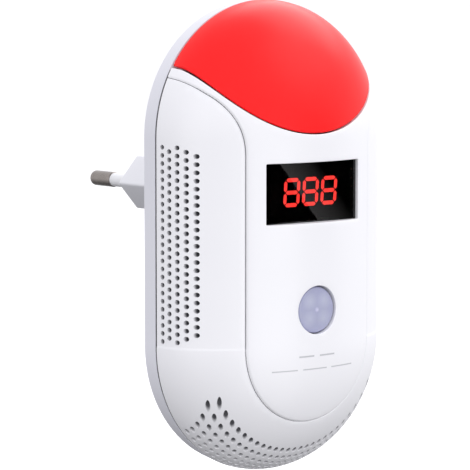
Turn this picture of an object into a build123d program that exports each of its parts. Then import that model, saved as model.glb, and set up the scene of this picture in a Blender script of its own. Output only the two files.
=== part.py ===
from build123d import *
import os
from math import cos, degrees, radians, sin, sqrt

# Plug-in carbon monoxide alarm, in millimetres.
# X runs left to right seen from the front, Y runs back to the wall, Z runs up.
# The origin is the centre of the housing's flat back.

# Housing
body_width = 68.0
body_height = 119.6
rear_depth = 6.0
dome_depth = 21.7
wall = 2.0
seam_gap = 0.4
rear_draft = 0.7
floor_thickness = 2.2
tongue_outer = 31.6
tongue_inner = 30.4
tongue_front = -7.5
back_edge_radius = 0.8
panel_rise = 0.3
side_drop = 0.25
panel_half_width = 19.4
flare_start = 22.0
flare_radius = 20.0
flare_turn = 50.0
flare_tip = (2.0, 9.5)
side_region_bottom = -25.5

# Alarm lens
lens_edge_radius = 33.7
lens_edge_z = 60.5
lens_gap = 0.3
lens_flange = 2.1
lens_flange_thickness = 1.0

# Vent holes
hole_radius = 0.62
hole_pitch = 2.0
column_pitch = 2.06
first_column_y = -8.4
side_column_counts = (25, 24, 25, 24, 23)
bottom_row_counts = (27, 27, 27, 27, 27, 25)

# Display
display_z = 12.4
display_width = 29.7
display_height = 15.1
window_margin = 0.8
window_face_y = -24.8
window_thickness = 1.0
display_frame_margin = 1.1
display_frame_back_y = -22.6
module_size = (25.0, 13.4)
segment_depth = 0.3
digits_x = 0.6
digit_pitch = 6.0
digit_width = 4.2
digit_height = 6.2
segment_width = 0.95
segment_end_gap = 0.35
digit_slant = 0.07
display_pin_pitch = 2.54
display_pin_row = 5.1
display_pin_radius = 0.25

# Test button
button_z = -16.9
button_radius = 5.8
button_clearance = 0.3
button_face_y = -27.15
button_back_y = -23.7
button_flange_width = 1.4
button_flange_thickness = 1.0
button_face_thickness = 1.6
button_wall = 1.0
button_stem_radius = 1.6
button_frame_width = 2.0
button_frame_back_y = -25.0
switch_size = 6.0
switch_front_y = -21.2
plunger_radius = 1.7
plunger_front_y = -22.4
spring_radius = 6.4
spring_wire_radius = 0.25
spring_turns = 4

# Boards
board_thickness = 1.6
main_board_y = -16.0
main_board_half_width = 20.5
main_board_top = 25.0
power_board_y = -7.2
power_board_size = (38.0, 32.0)
beacon_board_y = -11.0
beacon_board_radius = 24.0
beacon_board_bottom = 29.0
beacon_led_radius = 1.5
beacon_led_height = 3.8
beacon_led_centre_z = 31.0
reflector_inset = 0.5
reflector_back = 1.6
reflector_front = 2.4
ribbon_width = 6.0
ribbon_thickness = 0.25

# Parts on the boards
sensor_z = -37.0
sensor_pin_circle = 5.0
sounder_z = -16.8
chip_z = -27.6
chip_size = 7.0
transformer_place = (0.0, 19.0)
transformer_gap = 0.6

# Plug
plug_z = 11.5
plug_half_width = 15.5
plug_half_flat = 9.5
plug_half_height = 6.85
plug_wall = 2.2
plug_face_y = 34.8
pin_half_spacing = 9.3
pin_radius = 2.0
pin_length = 19.0
sleeve_length = 10.0
sleeve_radius = 1.8
pin_core_radius = 1.45

pin_tip_radius = 1.3
carrier_front_y = -6.6
carrier_back_y = -4.4
carrier_screw_x = 21.5
terminal_radius = 2.6

# Rating label
label_z = -27.0
label_recess_size = (36.0, 26.0)
label_recess_depth = 0.25
label_size = (35.6, 25.6)

# Dust filters
filter_gap = 0.15
filter_thickness = 0.3

# Fasteners
boss_x = 24.5
boss_z = 29.5
rear_boss_radius = 4.2
front_boss_radius = 3.2
screw_radius = 1.45
screw_hole_radius = 1.5
screw_head_radius = 2.8
well_radius = 3.1
well_depth = 4.5
board_screw_radius = 0.95
board_hole_radius = 1.15
board_screw_head_radius = 1.9
board_screw_head_height = 1.3
post_radius = 2.2
main_post_radius = 2.5
pilot_gap = 0.05

end_radius = body_width / 2
spine = body_height / 2 - end_radius
seam_y = -rear_depth
main_board_front = main_board_y - board_thickness
power_board_front = power_board_y - board_thickness
beacon_board_front = beacon_board_y - board_thickness
window_back_y = window_face_y + window_thickness
main_post_places = [(side * 17.5, z) for side in (-1, 1) for z in (-22.0, 21.5)]
power_post_places = [(side * 17.0, z) for side in (-1, 1) for z in (-1.5, 24.5)]
beacon_post_places = [(side * 19.0, 33.5) for side in (-1, 1)]
boss_places = [(sx * boss_x, sz * boss_z) for sx in (-1, 1) for sz in (-1, 1)]


def front_plane(y):
    # Sketches on it are front views: local x is X and local y is Z.
    return Plane(origin=(0, y, 0), x_dir=(1, 0, 0), z_dir=(0, -1, 0))


def prism(sketch, one_y, other_y):
    back_y = max(one_y, other_y)
    return extrude(front_plane(back_y) * sketch, amount=abs(one_y - other_y))


def rod(x, z, radius, back_y, front_y):
    return prism(Pos(x, z) * Circle(radius), back_y, front_y)


def block(x, z, width, height, back_y, front_y):
    return prism(Pos(x, z) * Rectangle(width, height), back_y, front_y)


def stadium(radius):
    return SlotCenterToCenter(2 * spine, 2 * radius, rotation=90)


def dome(side, depth):
    # Half an ellipse drawn along the straight sides and turned around both ends.
    half_ellipse = EllipticalCenterArc((0, 0), side, depth, start_angle=180, arc_size=180)
    section = make_face([half_ellipse, Line((side, 0), (-side, 0))])
    middle = extrude(section, amount=spine, both=True)
    quarter_ellipse = EllipticalCenterArc((0, 0), side, depth, start_angle=270, arc_size=90)
    sides = [Line((side, 0), (0, 0)), Line((0, 0), (0, -depth))]
    bottom_end = revolve(make_face([quarter_ellipse] + sides), Axis.Y, 180)
    bottom_end = Pos(0, 0, -spine) * bottom_end
    whole = middle + bottom_end + mirror(bottom_end, about=Plane.XY)
    return Pos(0, seam_y, 0) * whole


def inset_dome(inset):
    return dome(end_radius - inset, dome_depth - inset)


def dome_reach(depth, inset=0.0):
    # Distance from the spine to the dome's surface at a depth in front of the seam.
    return (end_radius - inset) * sqrt(1 - (depth / (dome_depth - inset)) ** 2)


def lens_circle(gap=0.0):
    return Pos(0, lens_edge_z) * Circle(lens_edge_radius - gap)


def panel_outline():
    # The raised front panel: round at the bottom, flaring out around the lens at the top.
    def half(side):
        inner = (side * panel_half_width, flare_start)
        centre_x = panel_half_width + flare_radius
        turn = radians(flare_turn)
        outer = (side * (centre_x - flare_radius * cos(turn)), flare_start + flare_radius * sin(turn))
        mid = (
            side * (centre_x - flare_radius * cos(turn / 2)),
            flare_start + flare_radius * sin(turn / 2),
        )
        tip = (side * (end_radius + flare_tip[0]), outer[1] + flare_tip[1])
        return inner, mid, outer, tip

    left_inner, left_mid, left_outer, left_tip = half(-1)
    right_inner, right_mid, right_outer, right_tip = half(1)
    left_foot = (-panel_half_width, -spine)
    right_foot = (panel_half_width, -spine)
    edges = [
        ThreePointArc(left_foot, (0, -spine - panel_half_width), right_foot),
        Line(right_foot, right_inner),
        ThreePointArc(right_inner, right_mid, right_outer),
        Line(right_outer, right_tip),
        Line(right_tip, (right_tip[0], body_height)),
        Line((right_tip[0], body_height), (left_tip[0], body_height)),
        Line((left_tip[0], body_height), left_tip),
        Line(left_tip, left_outer),
        ThreePointArc(left_outer, left_mid, left_inner),
        Line(left_inner, left_foot),
    ]
    return make_face(edges)


def cover_skin():
    # Three levels of one dome: the panel stands proud at the front and fades out at the seam,
    # the sides are sunk, and the lower end lies between them.
    full_depth = seam_y - dome_depth - 5
    start_y = seam_y - seam_gap / 2
    frame = Rectangle(body_width + 10, body_height + 10)
    below_sides = Pos(0, side_region_bottom - body_height) * Rectangle(body_width + 10, 2 * body_height)
    panel = panel_outline()
    side_area = frame - below_sides - panel
    lower_area = (frame & below_sides) - panel
    raised = dome(end_radius, dome_depth + panel_rise) & prism(panel, start_y, full_depth)
    sunk = inset_dome(side_drop) & prism(side_area, start_y, full_depth)
    lower = inset_dome(0) & prism(lower_area, start_y, full_depth)
    return raised + sunk + lower


def side_hole_cutters():
    cutters = []
    for column, count in enumerate(side_column_counts):
        y = first_column_y - column * column_pitch
        for row in range(count):
            z = (row - (count - 1) / 2) * hole_pitch
            for side in (-1, 1):
                centre = Pos(side * (end_radius - 3.5), y, z)
                cutters.append(centre * Rot(0, 90, 0) * Cylinder(hole_radius, 11.0))
    return cutters


def bottom_hole_cutters():
    cutters = []
    for row, count in enumerate(bottom_row_counts):
        y = first_column_y - row * column_pitch
        inner = dome_reach(seam_y - y, wall)
        for place in range(count):
            x = (place - (count - 1) / 2) * hole_pitch
            top = -spine - sqrt(inner**2 - x**2) + 0.9
            length = top + body_height / 2 + 2
            cutters.append(Pos(x, y, top - length / 2) * Cylinder(hole_radius, length))
    return cutters


def make_front_cover():
    cover = cover_skin() - inset_dome(wall)
    inside = inset_dome(wall / 2)
    frame_width = display_width + 2 * (window_margin + display_frame_margin)
    frame_height = display_height + 2 * (window_margin + display_frame_margin)
    deep = seam_y - dome_depth
    cover += block(0, display_z, frame_width, frame_height, display_frame_back_y, deep) & inside
    button_frame_radius = button_radius + button_frame_width
    cover += rod(0, button_z, button_frame_radius, button_frame_back_y, deep) & inside
    for x, z in boss_places:
        cover += rod(x, z, front_boss_radius, -8.4, deep) & inside
    for x, z in main_post_places:
        cover += rod(x, z, main_post_radius, main_board_front, deep) & inside
    cutters = [prism(lens_circle(), 1, deep - 5)]
    cutters.append(block(0, display_z, display_width, display_height, -20, deep - 5))
    rebate = (display_width + 2 * window_margin, display_height + 2 * window_margin)
    cutters.append(block(0, display_z, *rebate, -20, window_face_y - 0.02))
    cutters.append(rod(0, button_z, button_radius + button_clearance, -20, deep - 5))
    for x, z in boss_places:
        cutters.append(rod(x, z, screw_hole_radius, -5, -15.5))
    for x, z in main_post_places:
        cutters.append(rod(x, z, board_screw_radius + pilot_gap, -15, -21.6))
    return cover - cutters - side_hole_cutters() - bottom_hole_cutters()


def make_rear_cover():
    rim_y = seam_y + seam_gap / 2
    back_plane = Plane(origin=(0, rim_y, 0), x_dir=(1, 0, 0), z_dir=(0, 1, 0))
    profile = SlotCenterToCenter(2 * spine, 2 * end_radius, rotation=90)
    draft_angle = degrees(rear_draft / -rim_y)
    tray = extrude(back_plane * profile, amount=-rim_y, taper=draft_angle)
    back_edges = tray.edges().filter_by_position(Axis.Y, -0.01, 0.01)
    tray = fillet(back_edges, back_edge_radius)
    tray += prism(stadium(tongue_outer), -1, tongue_front)
    tray -= prism(stadium(tongue_inner), -floor_thickness, tongue_front - 1)
    for x, z in boss_places:
        tray += rod(x, z, rear_boss_radius, -0.5, -8.2)
    for x, z in power_post_places:
        tray += rod(x, z, post_radius, -1, power_board_y)
    for x, z in beacon_post_places:
        tray += rod(x, z, post_radius, -1, beacon_board_y)
    for x in (-carrier_screw_x, carrier_screw_x):
        tray += rod(x, plug_z, post_radius + 0.4, -1, -4.2)
    cutters = [prism(plug_outline(0.15), 1, -3)]
    cutters.append(block(0, label_z, *label_recess_size, 1, -label_recess_depth))
    for x, z in boss_places:
        cutters.append(rod(x, z, well_radius, 1, -well_depth))
        cutters.append(rod(x, z, screw_hole_radius, 1, -9))
    for x, z in power_post_places:
        cutters.append(rod(x, z, board_screw_radius + pilot_gap, -3, power_board_y - 1))
    for x, z in beacon_post_places:
        cutters.append(rod(x, z, board_screw_radius + pilot_gap, -5, beacon_board_y - 1))
    for x in (-carrier_screw_x, carrier_screw_x):
        cutters.append(rod(x, plug_z, board_screw_radius + pilot_gap, -1.2, -5))
    return tray - cutters


def make_alarm_lens():
    rear_y = seam_y - seam_gap / 2
    front_y = seam_y - dome_depth - 5
    skin = inset_dome(0) & prism(lens_circle(lens_gap), rear_y, front_y)
    flange_region = prism(lens_circle(-lens_flange), tongue_front - 0.3, front_y)
    flange = inset_dome(wall + 0.1) & flange_region
    lens = skin + flange
    hollow = inset_dome(wall) & prism(lens_circle(lens_flange), 0, front_y)
    # Behind the flange the lens is as thin as the cover, so that the rear cover's tongue fits in.
    hollow += inset_dome(wall) & prism(Rectangle(200, 200), 0, tongue_front - 0.3)
    return lens - hollow - inset_dome(wall + 0.1 + lens_flange_thickness)


def make_display_window():
    width = display_width + 2 * window_margin - 0.2
    height = display_height + 2 * window_margin - 0.2
    return block(0, display_z, width, height, window_back_y, window_face_y)


def make_display_module():
    face_y = window_back_y + 0.1
    body = block(0, display_z, *module_size, main_board_front, face_y)
    return body - display_segment_shapes(face_y + segment_depth, face_y - 1)


def segment(x, z, length, angle):
    # A bar with pointed ends, as in a seven-segment digit.
    half, end = segment_width / 2, length / 2
    points = [
        (-end, 0),
        (-end + half, half),
        (end - half, half),
        (end, 0),
        (end - half, -half),
        (-end + half, -half),
    ]
    lean = digit_slant * z
    return Pos(x + lean, z) * Rot(0, 0, angle) * make_face(Polyline(*points, close=True))


def display_segment_shapes(back_y, front_y):
    upright = digit_height / 2
    sketch = []
    for digit in (-1, 0, 1):
        x = digits_x + digit * digit_pitch
        for z in (-upright, 0, upright):
            sketch.append(segment(x, z, digit_width - segment_end_gap, 0))
        for side in (-1, 1):
            for z in (-upright / 2, upright / 2):
                length = upright - segment_end_gap
                sketch.append(segment(x + side * digit_width / 2, z, length, 90 - degrees(digit_slant)))
    return [prism(Pos(0, display_z) * piece, back_y, front_y) for piece in sketch]


def make_display_segments():
    face_y = window_back_y + 0.1
    return Compound(display_segment_shapes(face_y + segment_depth, face_y))


def make_display_pins():
    pins = []
    for column in range(6):
        for side in (-1, 1):
            x = (column - 2.5) * display_pin_pitch
            z = display_z + side * display_pin_row
            pins.append(rod(x, z, display_pin_radius, main_board_y + 0.7, main_board_front))
    return Compound(pins)


def make_test_button():
    back_y = button_back_y
    cap = rod(0, button_z, button_radius, back_y, button_face_y)
    cap = fillet(cap.edges().sort_by(Axis.Y)[0], 0.5)
    flange_radius = button_radius + button_flange_width
    cap += rod(0, button_z, flange_radius, back_y, back_y - button_flange_thickness)
    cap -= rod(0, button_z, button_radius - button_wall, back_y, button_face_y + button_face_thickness)
    return cap + rod(0, button_z, button_stem_radius, plunger_front_y, button_face_y + 1.0)


def make_button_spring():
    low = main_board_front - spring_wire_radius - 0.02
    high = button_back_y + spring_wire_radius + 0.02
    coil = Helix(pitch=(low - high) / spring_turns, height=low - high, radius=spring_radius)
    section = Plane(coil @ 0, z_dir=coil % 0) * Circle(spring_wire_radius)
    wire = sweep(section, path=coil, is_frenet=True)
    return Pos(0, low, button_z) * Rot(90, 0, 0) * wire


def make_switch_body():
    body = block(0, button_z, switch_size, switch_size, main_board_front, switch_front_y)
    return body - rod(0, button_z, plunger_radius + 0.1, switch_front_y + 2.0, switch_front_y - 1.0)


def make_switch_plunger():
    return rod(0, button_z, plunger_radius, switch_front_y + 0.3, plunger_front_y)


def make_status_leds():
    front_y = main_board_front - 0.6
    places = [(-4.4, 0.0, 0.8, 1.6), (4.4, 0.0, 0.8, 1.6), (0.0, -4.4, 1.6, 0.8)]
    return Compound(
        [block(x, button_z + z, w, h, main_board_front, front_y) for x, z, w, h in places]
    )


def make_main_board():
    outline = stadium(main_board_half_width)
    outline -= Pos(0, main_board_top + 50) * Rectangle(100, 100)
    board = prism(outline, main_board_y, main_board_front)
    cutters = [rod(x, z, board_hole_radius, 0, -20) for x, z in main_post_places]
    for pin in make_display_pins().solids():
        centre = pin.center()
        cutters.append(rod(centre.X, centre.Z, 0.35, 0, -20))
    for x, z in sensor_pin_places():
        cutters.append(rod(x, z, 0.5, 0, -20))
    return board - cutters


def sensor_pin_places():
    angles = [radians(30 + 60 * step) for step in range(6)]
    return [(sensor_pin_circle * cos(a), sensor_z + sensor_pin_circle * sin(a)) for a in angles]


def make_sensor_base():
    base = rod(0, sensor_z, 8.4, main_board_y + 2.0, main_board_y)
    return base - [rod(x, z, 0.5, 0, -20) for x, z in sensor_pin_places()]


def make_sensor_can():
    can = rod(0, sensor_z, 8.6, main_board_y + 8.6, main_board_y + 2.05)
    can -= rod(0, sensor_z, 8.1, main_board_y + 8.0, main_board_y)
    return can - rod(0, sensor_z, 6.4, 0, main_board_y)


def make_sensor_mesh():
    return rod(0, sensor_z, 8.0, main_board_y + 7.95, main_board_y + 7.55)


def make_sensor_element():
    y = main_board_y + 5.0
    tube = Pos(0, y, sensor_z) * Rot(0, 90, 0) * Cylinder(0.9, 5.0)
    return tube - Pos(0, y, sensor_z) * Rot(0, 90, 0) * Cylinder(0.5, 6.0)


def make_sensor_pins():
    ends = (main_board_y + 3.4, main_board_front - 1.5)
    return Compound([rod(x, z, 0.45, *ends) for x, z in sensor_pin_places()])


def make_sounder_case():
    case = rod(0, sounder_z, 11.0, main_board_y + 7.6, main_board_y + 0.05)
    case -= rod(0, sounder_z, 9.9, main_board_y + 6.4, main_board_y - 1)
    return case - rod(0, sounder_z, 1.6, 0, main_board_y)


def make_sounder_disc():
    disc = rod(0, sounder_z, 9.8, main_board_y + 3.2, main_board_y + 3.0)
    return disc + rod(0, sounder_z, 6.5, main_board_y + 3.35, main_board_y + 3.2)


def make_main_chip():
    return block(0, chip_z, chip_size, chip_size, main_board_front, main_board_front - 1.4)


def make_chip_parts():
    parts = []
    for column in range(5):
        for side in (-1, 1):
            x = side * (8.0 + 1.9 * column)
            parts.append(block(x, chip_z - 1.4, 0.8, 1.6, main_board_front, main_board_front - 0.6))
    return Compound(parts)


def make_link_header():
    return block(0, 0, 12.0, 2.5, power_board_front, main_board_y)


def make_power_board():
    board = block(0, plug_z, *power_board_size, power_board_y, power_board_front)
    cutters = [rod(x, z, board_hole_radius, 0, -20) for x, z in power_post_places]
    for side in (-1, 1):
        cutters.append(block(side * pin_half_spacing, plug_z, 1.0, 2.6, 0, -20))
    return board - cutters


def make_transformer_core():
    x, z = transformer_place
    top = power_board_front - transformer_gap
    core = block(x, z, 12.0, 10.0, top, top - 5.6)
    return core - block(x, z, 6.4, 12.0, top + 1, top - 4.4)


def make_transformer_bobbin():
    x, z = transformer_place
    top = power_board_front - transformer_gap
    bobbin = block(x, z, 6.2, 9.8, top - 0.05, top - 4.3)
    return bobbin - block(x, z, 8.0, 7.6, top + 0.5, top - 0.8) - block(x, z, 8.0, 7.6, top - 3.6, top - 5)


def make_transformer_winding():
    x, z = transformer_place
    top = power_board_front - transformer_gap
    return block(x, z, 6.0, 7.4, top - 0.1, top - 0.78)


def make_capacitors():
    parts = []
    for side in (-1, 1):
        can = Cylinder(3.1, 10.0)
        parts.append(Pos(side * 13.5, power_board_front - 3.2, 13.0) * can)
    return Compound(parts)


def make_varistor():
    return Pos(0, power_board_front - 2.0, 6.5) * Box(7.0, 3.6, 3.0)


def make_fuse():
    return Pos(0, power_board_front - 1.7, 10.8) * Rot(0, 90, 0) * Cylinder(1.6, 8.0)


def make_rectifier():
    return block(8.5, 2.8, 4.8, 4.0, power_board_front, power_board_front - 2.4)


def make_pin_terminals():
    terminals = []
    for side in (-1, 1):
        x = side * pin_half_spacing
        plate = rod(x, plug_z, terminal_radius, carrier_front_y - 0.1, power_board_y + 0.02)
        leg = block(x, plug_z, 0.6, 2.2, carrier_front_y - 0.2, power_board_front - 0.8)
        terminals.append(plate + leg)
    return Compound(terminals)


def make_beacon_board():
    outline = Pos(0, spine) * Circle(beacon_board_radius)
    outline -= Pos(0, beacon_board_bottom - 50) * Rectangle(100, 100)
    board = prism(outline, beacon_board_y, beacon_board_front)
    cutters = [rod(x, z, board_hole_radius, 0, -20) for x, z in beacon_post_places]
    cutters += [rod(x, z, front_boss_radius + 0.5, 0, -20) for x, z in boss_places]
    return board - cutters


def beacon_led_places():
    outer = [(14.0, angle) for angle in (30, 60, 90, 120, 150)]
    inner = [(6.0, angle) for angle in (35, 90, 145)]
    return [(r * cos(radians(a)), beacon_led_centre_z + r * sin(radians(a))) for r, a in outer + inner]


def make_beacon_leds():
    leds = []
    for x, z in beacon_led_places():
        top_y = beacon_board_front - beacon_led_height
        stem = rod(x, z, beacon_led_radius, beacon_board_front, top_y)
        leds.append(stem + Pos(x, top_y, z) * Sphere(beacon_led_radius))
    return Compound(leds)


def make_beacon_reflector():
    outline = Pos(0, spine) * Circle(beacon_board_radius - reflector_inset)
    outline -= Pos(0, beacon_board_bottom + reflector_inset - 50) * Rectangle(100, 100)
    front_y = beacon_board_front - reflector_front
    plate = prism(outline, beacon_board_front - reflector_back, front_y)
    rim = prism(outline - offset(outline, -1.0), beacon_board_front - 0.05, front_y)
    reflector = plate + rim
    cutters = [rod(x, z, beacon_led_radius + 0.2, 0, -20) for x, z in beacon_led_places()]
    cutters += [rod(x, z, post_radius + 0.4, 0, -20) for x, z in beacon_post_places]
    cutters += [rod(x, z, front_boss_radius + 0.5, 0, -20) for x, z in boss_places]
    return reflector - cutters


def make_beacon_ribbon():
    # Runs from the back of the main board up to the back of the beacon board.
    upper_back = beacon_board_y + ribbon_thickness
    lower = block(0, 23.5, ribbon_width, 7.0, main_board_y + ribbon_thickness, main_board_y)
    riser = block(0, 26.9, ribbon_width, ribbon_thickness, upper_back, main_board_y)
    upper = block(0, 30.0, ribbon_width, 6.4, upper_back, beacon_board_y)
    return lower + riser + upper


def plug_outline(grow=0.0):
    wide = plug_half_width + 1.2 * grow
    flat = plug_half_flat + 0.4 * grow
    high = plug_half_height + grow
    points = [(-wide, 0), (-flat, high), (flat, high), (wide, 0), (flat, -high), (-flat, -high)]
    return Pos(0, plug_z) * make_face(Polyline(*points, close=True))


def make_plug_block():
    outline = fillet(plug_outline().vertices(), 0.7)
    shell = prism(outline, plug_face_y, -floor_thickness)
    face_edges = shell.edges().filter_by_position(Axis.Y, plug_face_y - 0.01, plug_face_y + 0.01)
    shell = fillet(face_edges, 0.5)
    flange = block(0, plug_z, 36.0, 18.0, -floor_thickness - 0.05, -4.35)
    shell += flange + prism(outline, 0, -floor_thickness - 0.1)
    cutters = [prism(plug_outline(-plug_wall), plug_face_y - plug_wall, -5)]
    for side in (-1, 1):
        cutters.append(rod(side * pin_half_spacing, plug_z, sleeve_radius + 0.02, 40, 30))
    return shell - cutters


def make_pin_carrier():
    plate = block(0, plug_z, 49.0, 17.6, carrier_back_y, carrier_front_y)
    cutters = []
    for side in (-1, 1):
        plate += rod(side * pin_half_spacing, plug_z, 2.4, 8.0, -4.5)
        cutters.append(rod(side * pin_half_spacing, plug_z, pin_core_radius + 0.03, 10, -8))
        cutters.append(rod(side * carrier_screw_x, plug_z, board_hole_radius, 0, -8))
    return plate - cutters


def make_plug_pin(side):
    x = side * pin_half_spacing
    tip_y = plug_face_y + pin_length
    collar_y = plug_face_y + sleeve_length
    tip = rod(x, plug_z, pin_radius, tip_y, collar_y)
    tip = fillet(tip.edges().sort_by(Axis.Y)[-1], pin_tip_radius)
    return tip + rod(x, plug_z, pin_core_radius, collar_y, carrier_front_y)


def make_pin_sleeve(side):
    x = side * pin_half_spacing
    ends = (plug_face_y + sleeve_length - 0.02, plug_face_y - plug_wall - 2.0)
    sleeve = rod(x, plug_z, sleeve_radius, *ends)
    return sleeve - rod(x, plug_z, pin_core_radius + 0.02, 60, 0)


def pan_screw(x, z, seat_y, shank_radius, length, head_radius, head_height, way=1):
    # A pan head with a cross recess on its seat. Way 1 is driven from the wall side, -1 from the front.
    top_y = seat_y + way * head_height
    head = rod(x, z, head_radius, top_y, seat_y)
    rim = head.edges().sort_by(Axis.Y)[-1 if way > 0 else 0]
    head = fillet(rim, head_height * 0.45)
    recess_y = seat_y + way * head_height * 0.4
    for width, height in ((head_radius, head_radius * 0.25), (head_radius * 0.25, head_radius)):
        head -= block(x, z, width, height, top_y + way, recess_y)
    return head + rod(x, z, shank_radius, seat_y, seat_y - way * length)


def board_screw(x, z, seat_y, length, way):
    size = (board_screw_radius, length, board_screw_head_radius, board_screw_head_height)
    return pan_screw(x, z, seat_y, *size, way)


def make_cover_screws():
    size = (screw_radius, 10.0, screw_head_radius, 1.8)
    return Compound([pan_screw(x, z, -well_depth, *size) for x, z in boss_places])


def make_board_screws():
    return Compound([board_screw(x, z, main_board_y, 5.0, 1) for x, z in main_post_places])


def make_chassis_screws():
    # These are driven from the front into posts on the rear cover.
    screws = [board_screw(x, z, power_board_front, 5.0, -1) for x, z in power_post_places]
    screws += [board_screw(x, z, beacon_board_front, 6.0, -1) for x, z in beacon_post_places]
    screws += [
        board_screw(x, plug_z, carrier_front_y, 5.0, -1) for x in (-carrier_screw_x, carrier_screw_x)
    ]
    return Compound(screws)


def filter_sheet():
    front = wall + filter_gap
    return inset_dome(front) - inset_dome(front + filter_thickness)


def make_side_filter(side):
    region = Pos(side * 30, -13.15, 0) * Box(12.0, 10.9, 51.0)
    return filter_sheet() & region


def make_bottom_filter():
    region = Pos(0, -13.75, -48.6) * Box(56.0, 12.1, 29.0)
    return filter_sheet() & region


def make_rating_label():
    return block(0, label_z, *label_size, -0.03, 0.02 - label_recess_depth)


nodes = {
    "rear_cover": make_rear_cover(),
    "front_cover": make_front_cover(),
    "alarm_lens": make_alarm_lens(),
    "display_window": make_display_window(),
    "display_module": make_display_module(),
    "display_segments": make_display_segments(),
    "display_pins": make_display_pins(),
    "test_button": make_test_button(),
    "button_spring": make_button_spring(),
    "switch_body": make_switch_body(),
    "switch_plunger": make_switch_plunger(),
    "status_leds": make_status_leds(),
    "main_board": make_main_board(),
    "main_chip": make_main_chip(),
    "chip_parts": make_chip_parts(),
    "sensor_base": make_sensor_base(),
    "sensor_can": make_sensor_can(),
    "sensor_mesh": make_sensor_mesh(),
    "sensor_element": make_sensor_element(),
    "sensor_pins": make_sensor_pins(),
    "sounder_case": make_sounder_case(),
    "sounder_disc": make_sounder_disc(),
    "link_header": make_link_header(),
    "power_board": make_power_board(),
    "transformer_core": make_transformer_core(),
    "transformer_bobbin": make_transformer_bobbin(),
    "transformer_winding": make_transformer_winding(),
    "capacitors": make_capacitors(),
    "varistor": make_varistor(),
    "fuse": make_fuse(),
    "rectifier": make_rectifier(),
    "pin_terminals": make_pin_terminals(),
    "beacon_board": make_beacon_board(),
    "beacon_leds": make_beacon_leds(),
    "beacon_reflector": make_beacon_reflector(),
    "beacon_ribbon": make_beacon_ribbon(),
    "plug_block": make_plug_block(),
    "pin_carrier": make_pin_carrier(),
    "plug_pin_left": make_plug_pin(-1),
    "plug_pin_right": make_plug_pin(1),
    "pin_sleeve_left": make_pin_sleeve(-1),
    "pin_sleeve_right": make_pin_sleeve(1),
    "cover_screws": make_cover_screws(),
    "board_screws": make_board_screws(),
    "chassis_screws": make_chassis_screws(),
    "side_filter_left": make_side_filter(-1),
    "side_filter_right": make_side_filter(1),
    "bottom_filter": make_bottom_filter(),
    "rating_label": make_rating_label(),
}

os.makedirs("parts", exist_ok=True)
for name, shape in nodes.items():
    export_step(shape, "parts/" + name + ".step")
    print(name, "solids", len(shape.solids()), "volume", round(shape.volume, 2))
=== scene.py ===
from math import atan2, cos, hypot, pi, radians, sin, sqrt

import bmesh
import bpy
import numpy as np
from mathutils import Matrix, Vector
from mathutils.geometry import delaunay_2d_cdt


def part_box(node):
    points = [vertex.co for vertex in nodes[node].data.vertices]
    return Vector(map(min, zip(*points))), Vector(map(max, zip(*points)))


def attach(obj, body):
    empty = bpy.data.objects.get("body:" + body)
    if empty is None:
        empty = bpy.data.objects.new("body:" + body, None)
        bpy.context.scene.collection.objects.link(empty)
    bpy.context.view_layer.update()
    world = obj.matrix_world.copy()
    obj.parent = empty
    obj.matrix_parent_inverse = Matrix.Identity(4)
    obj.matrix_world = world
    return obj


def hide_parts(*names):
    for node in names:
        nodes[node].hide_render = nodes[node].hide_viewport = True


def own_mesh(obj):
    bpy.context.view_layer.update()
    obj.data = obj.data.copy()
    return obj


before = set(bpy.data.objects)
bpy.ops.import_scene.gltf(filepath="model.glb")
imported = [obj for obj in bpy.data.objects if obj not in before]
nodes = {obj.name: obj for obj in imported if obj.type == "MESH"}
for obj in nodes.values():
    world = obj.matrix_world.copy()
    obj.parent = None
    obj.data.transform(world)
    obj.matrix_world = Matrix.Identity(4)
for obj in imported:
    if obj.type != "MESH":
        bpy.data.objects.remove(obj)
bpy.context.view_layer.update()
mm = 0.001


def corners(node):
    # lowest and highest corner of a CAD node, in millimetres
    low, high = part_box(node)
    return low / mm, high / mm


rearHigh = corners("rear_cover")[1]
coverLow, coverHigh = corners("front_cover")
windowLow, windowHigh = corners("display_window")
buttonLow, buttonHigh = corners("test_button")

# The housing is one quarter-ellipse dome, swept along an upright spine and turned round its ends.
shell = {
    "endRadius": rearHigh.x,
    "spine": rearHigh.z - rearHigh.x,
    "seam": coverHigh.y + 0.2,
    "seamGap": 0.4,
    "panelRise": 0.3,
    "wall": 2.0,
    "spacing": 1.25,
    "innerSpacing": 1.8,
    "seed": (0, -3),
}
shell["domeDepth"] = shell["seam"] - coverLow.y - shell["panelRise"]
endRadius = shell["endRadius"]
spine = shell["spine"]
domeDepth = shell["domeDepth"]

# ---- shader and geometry sums written as expressions


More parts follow.
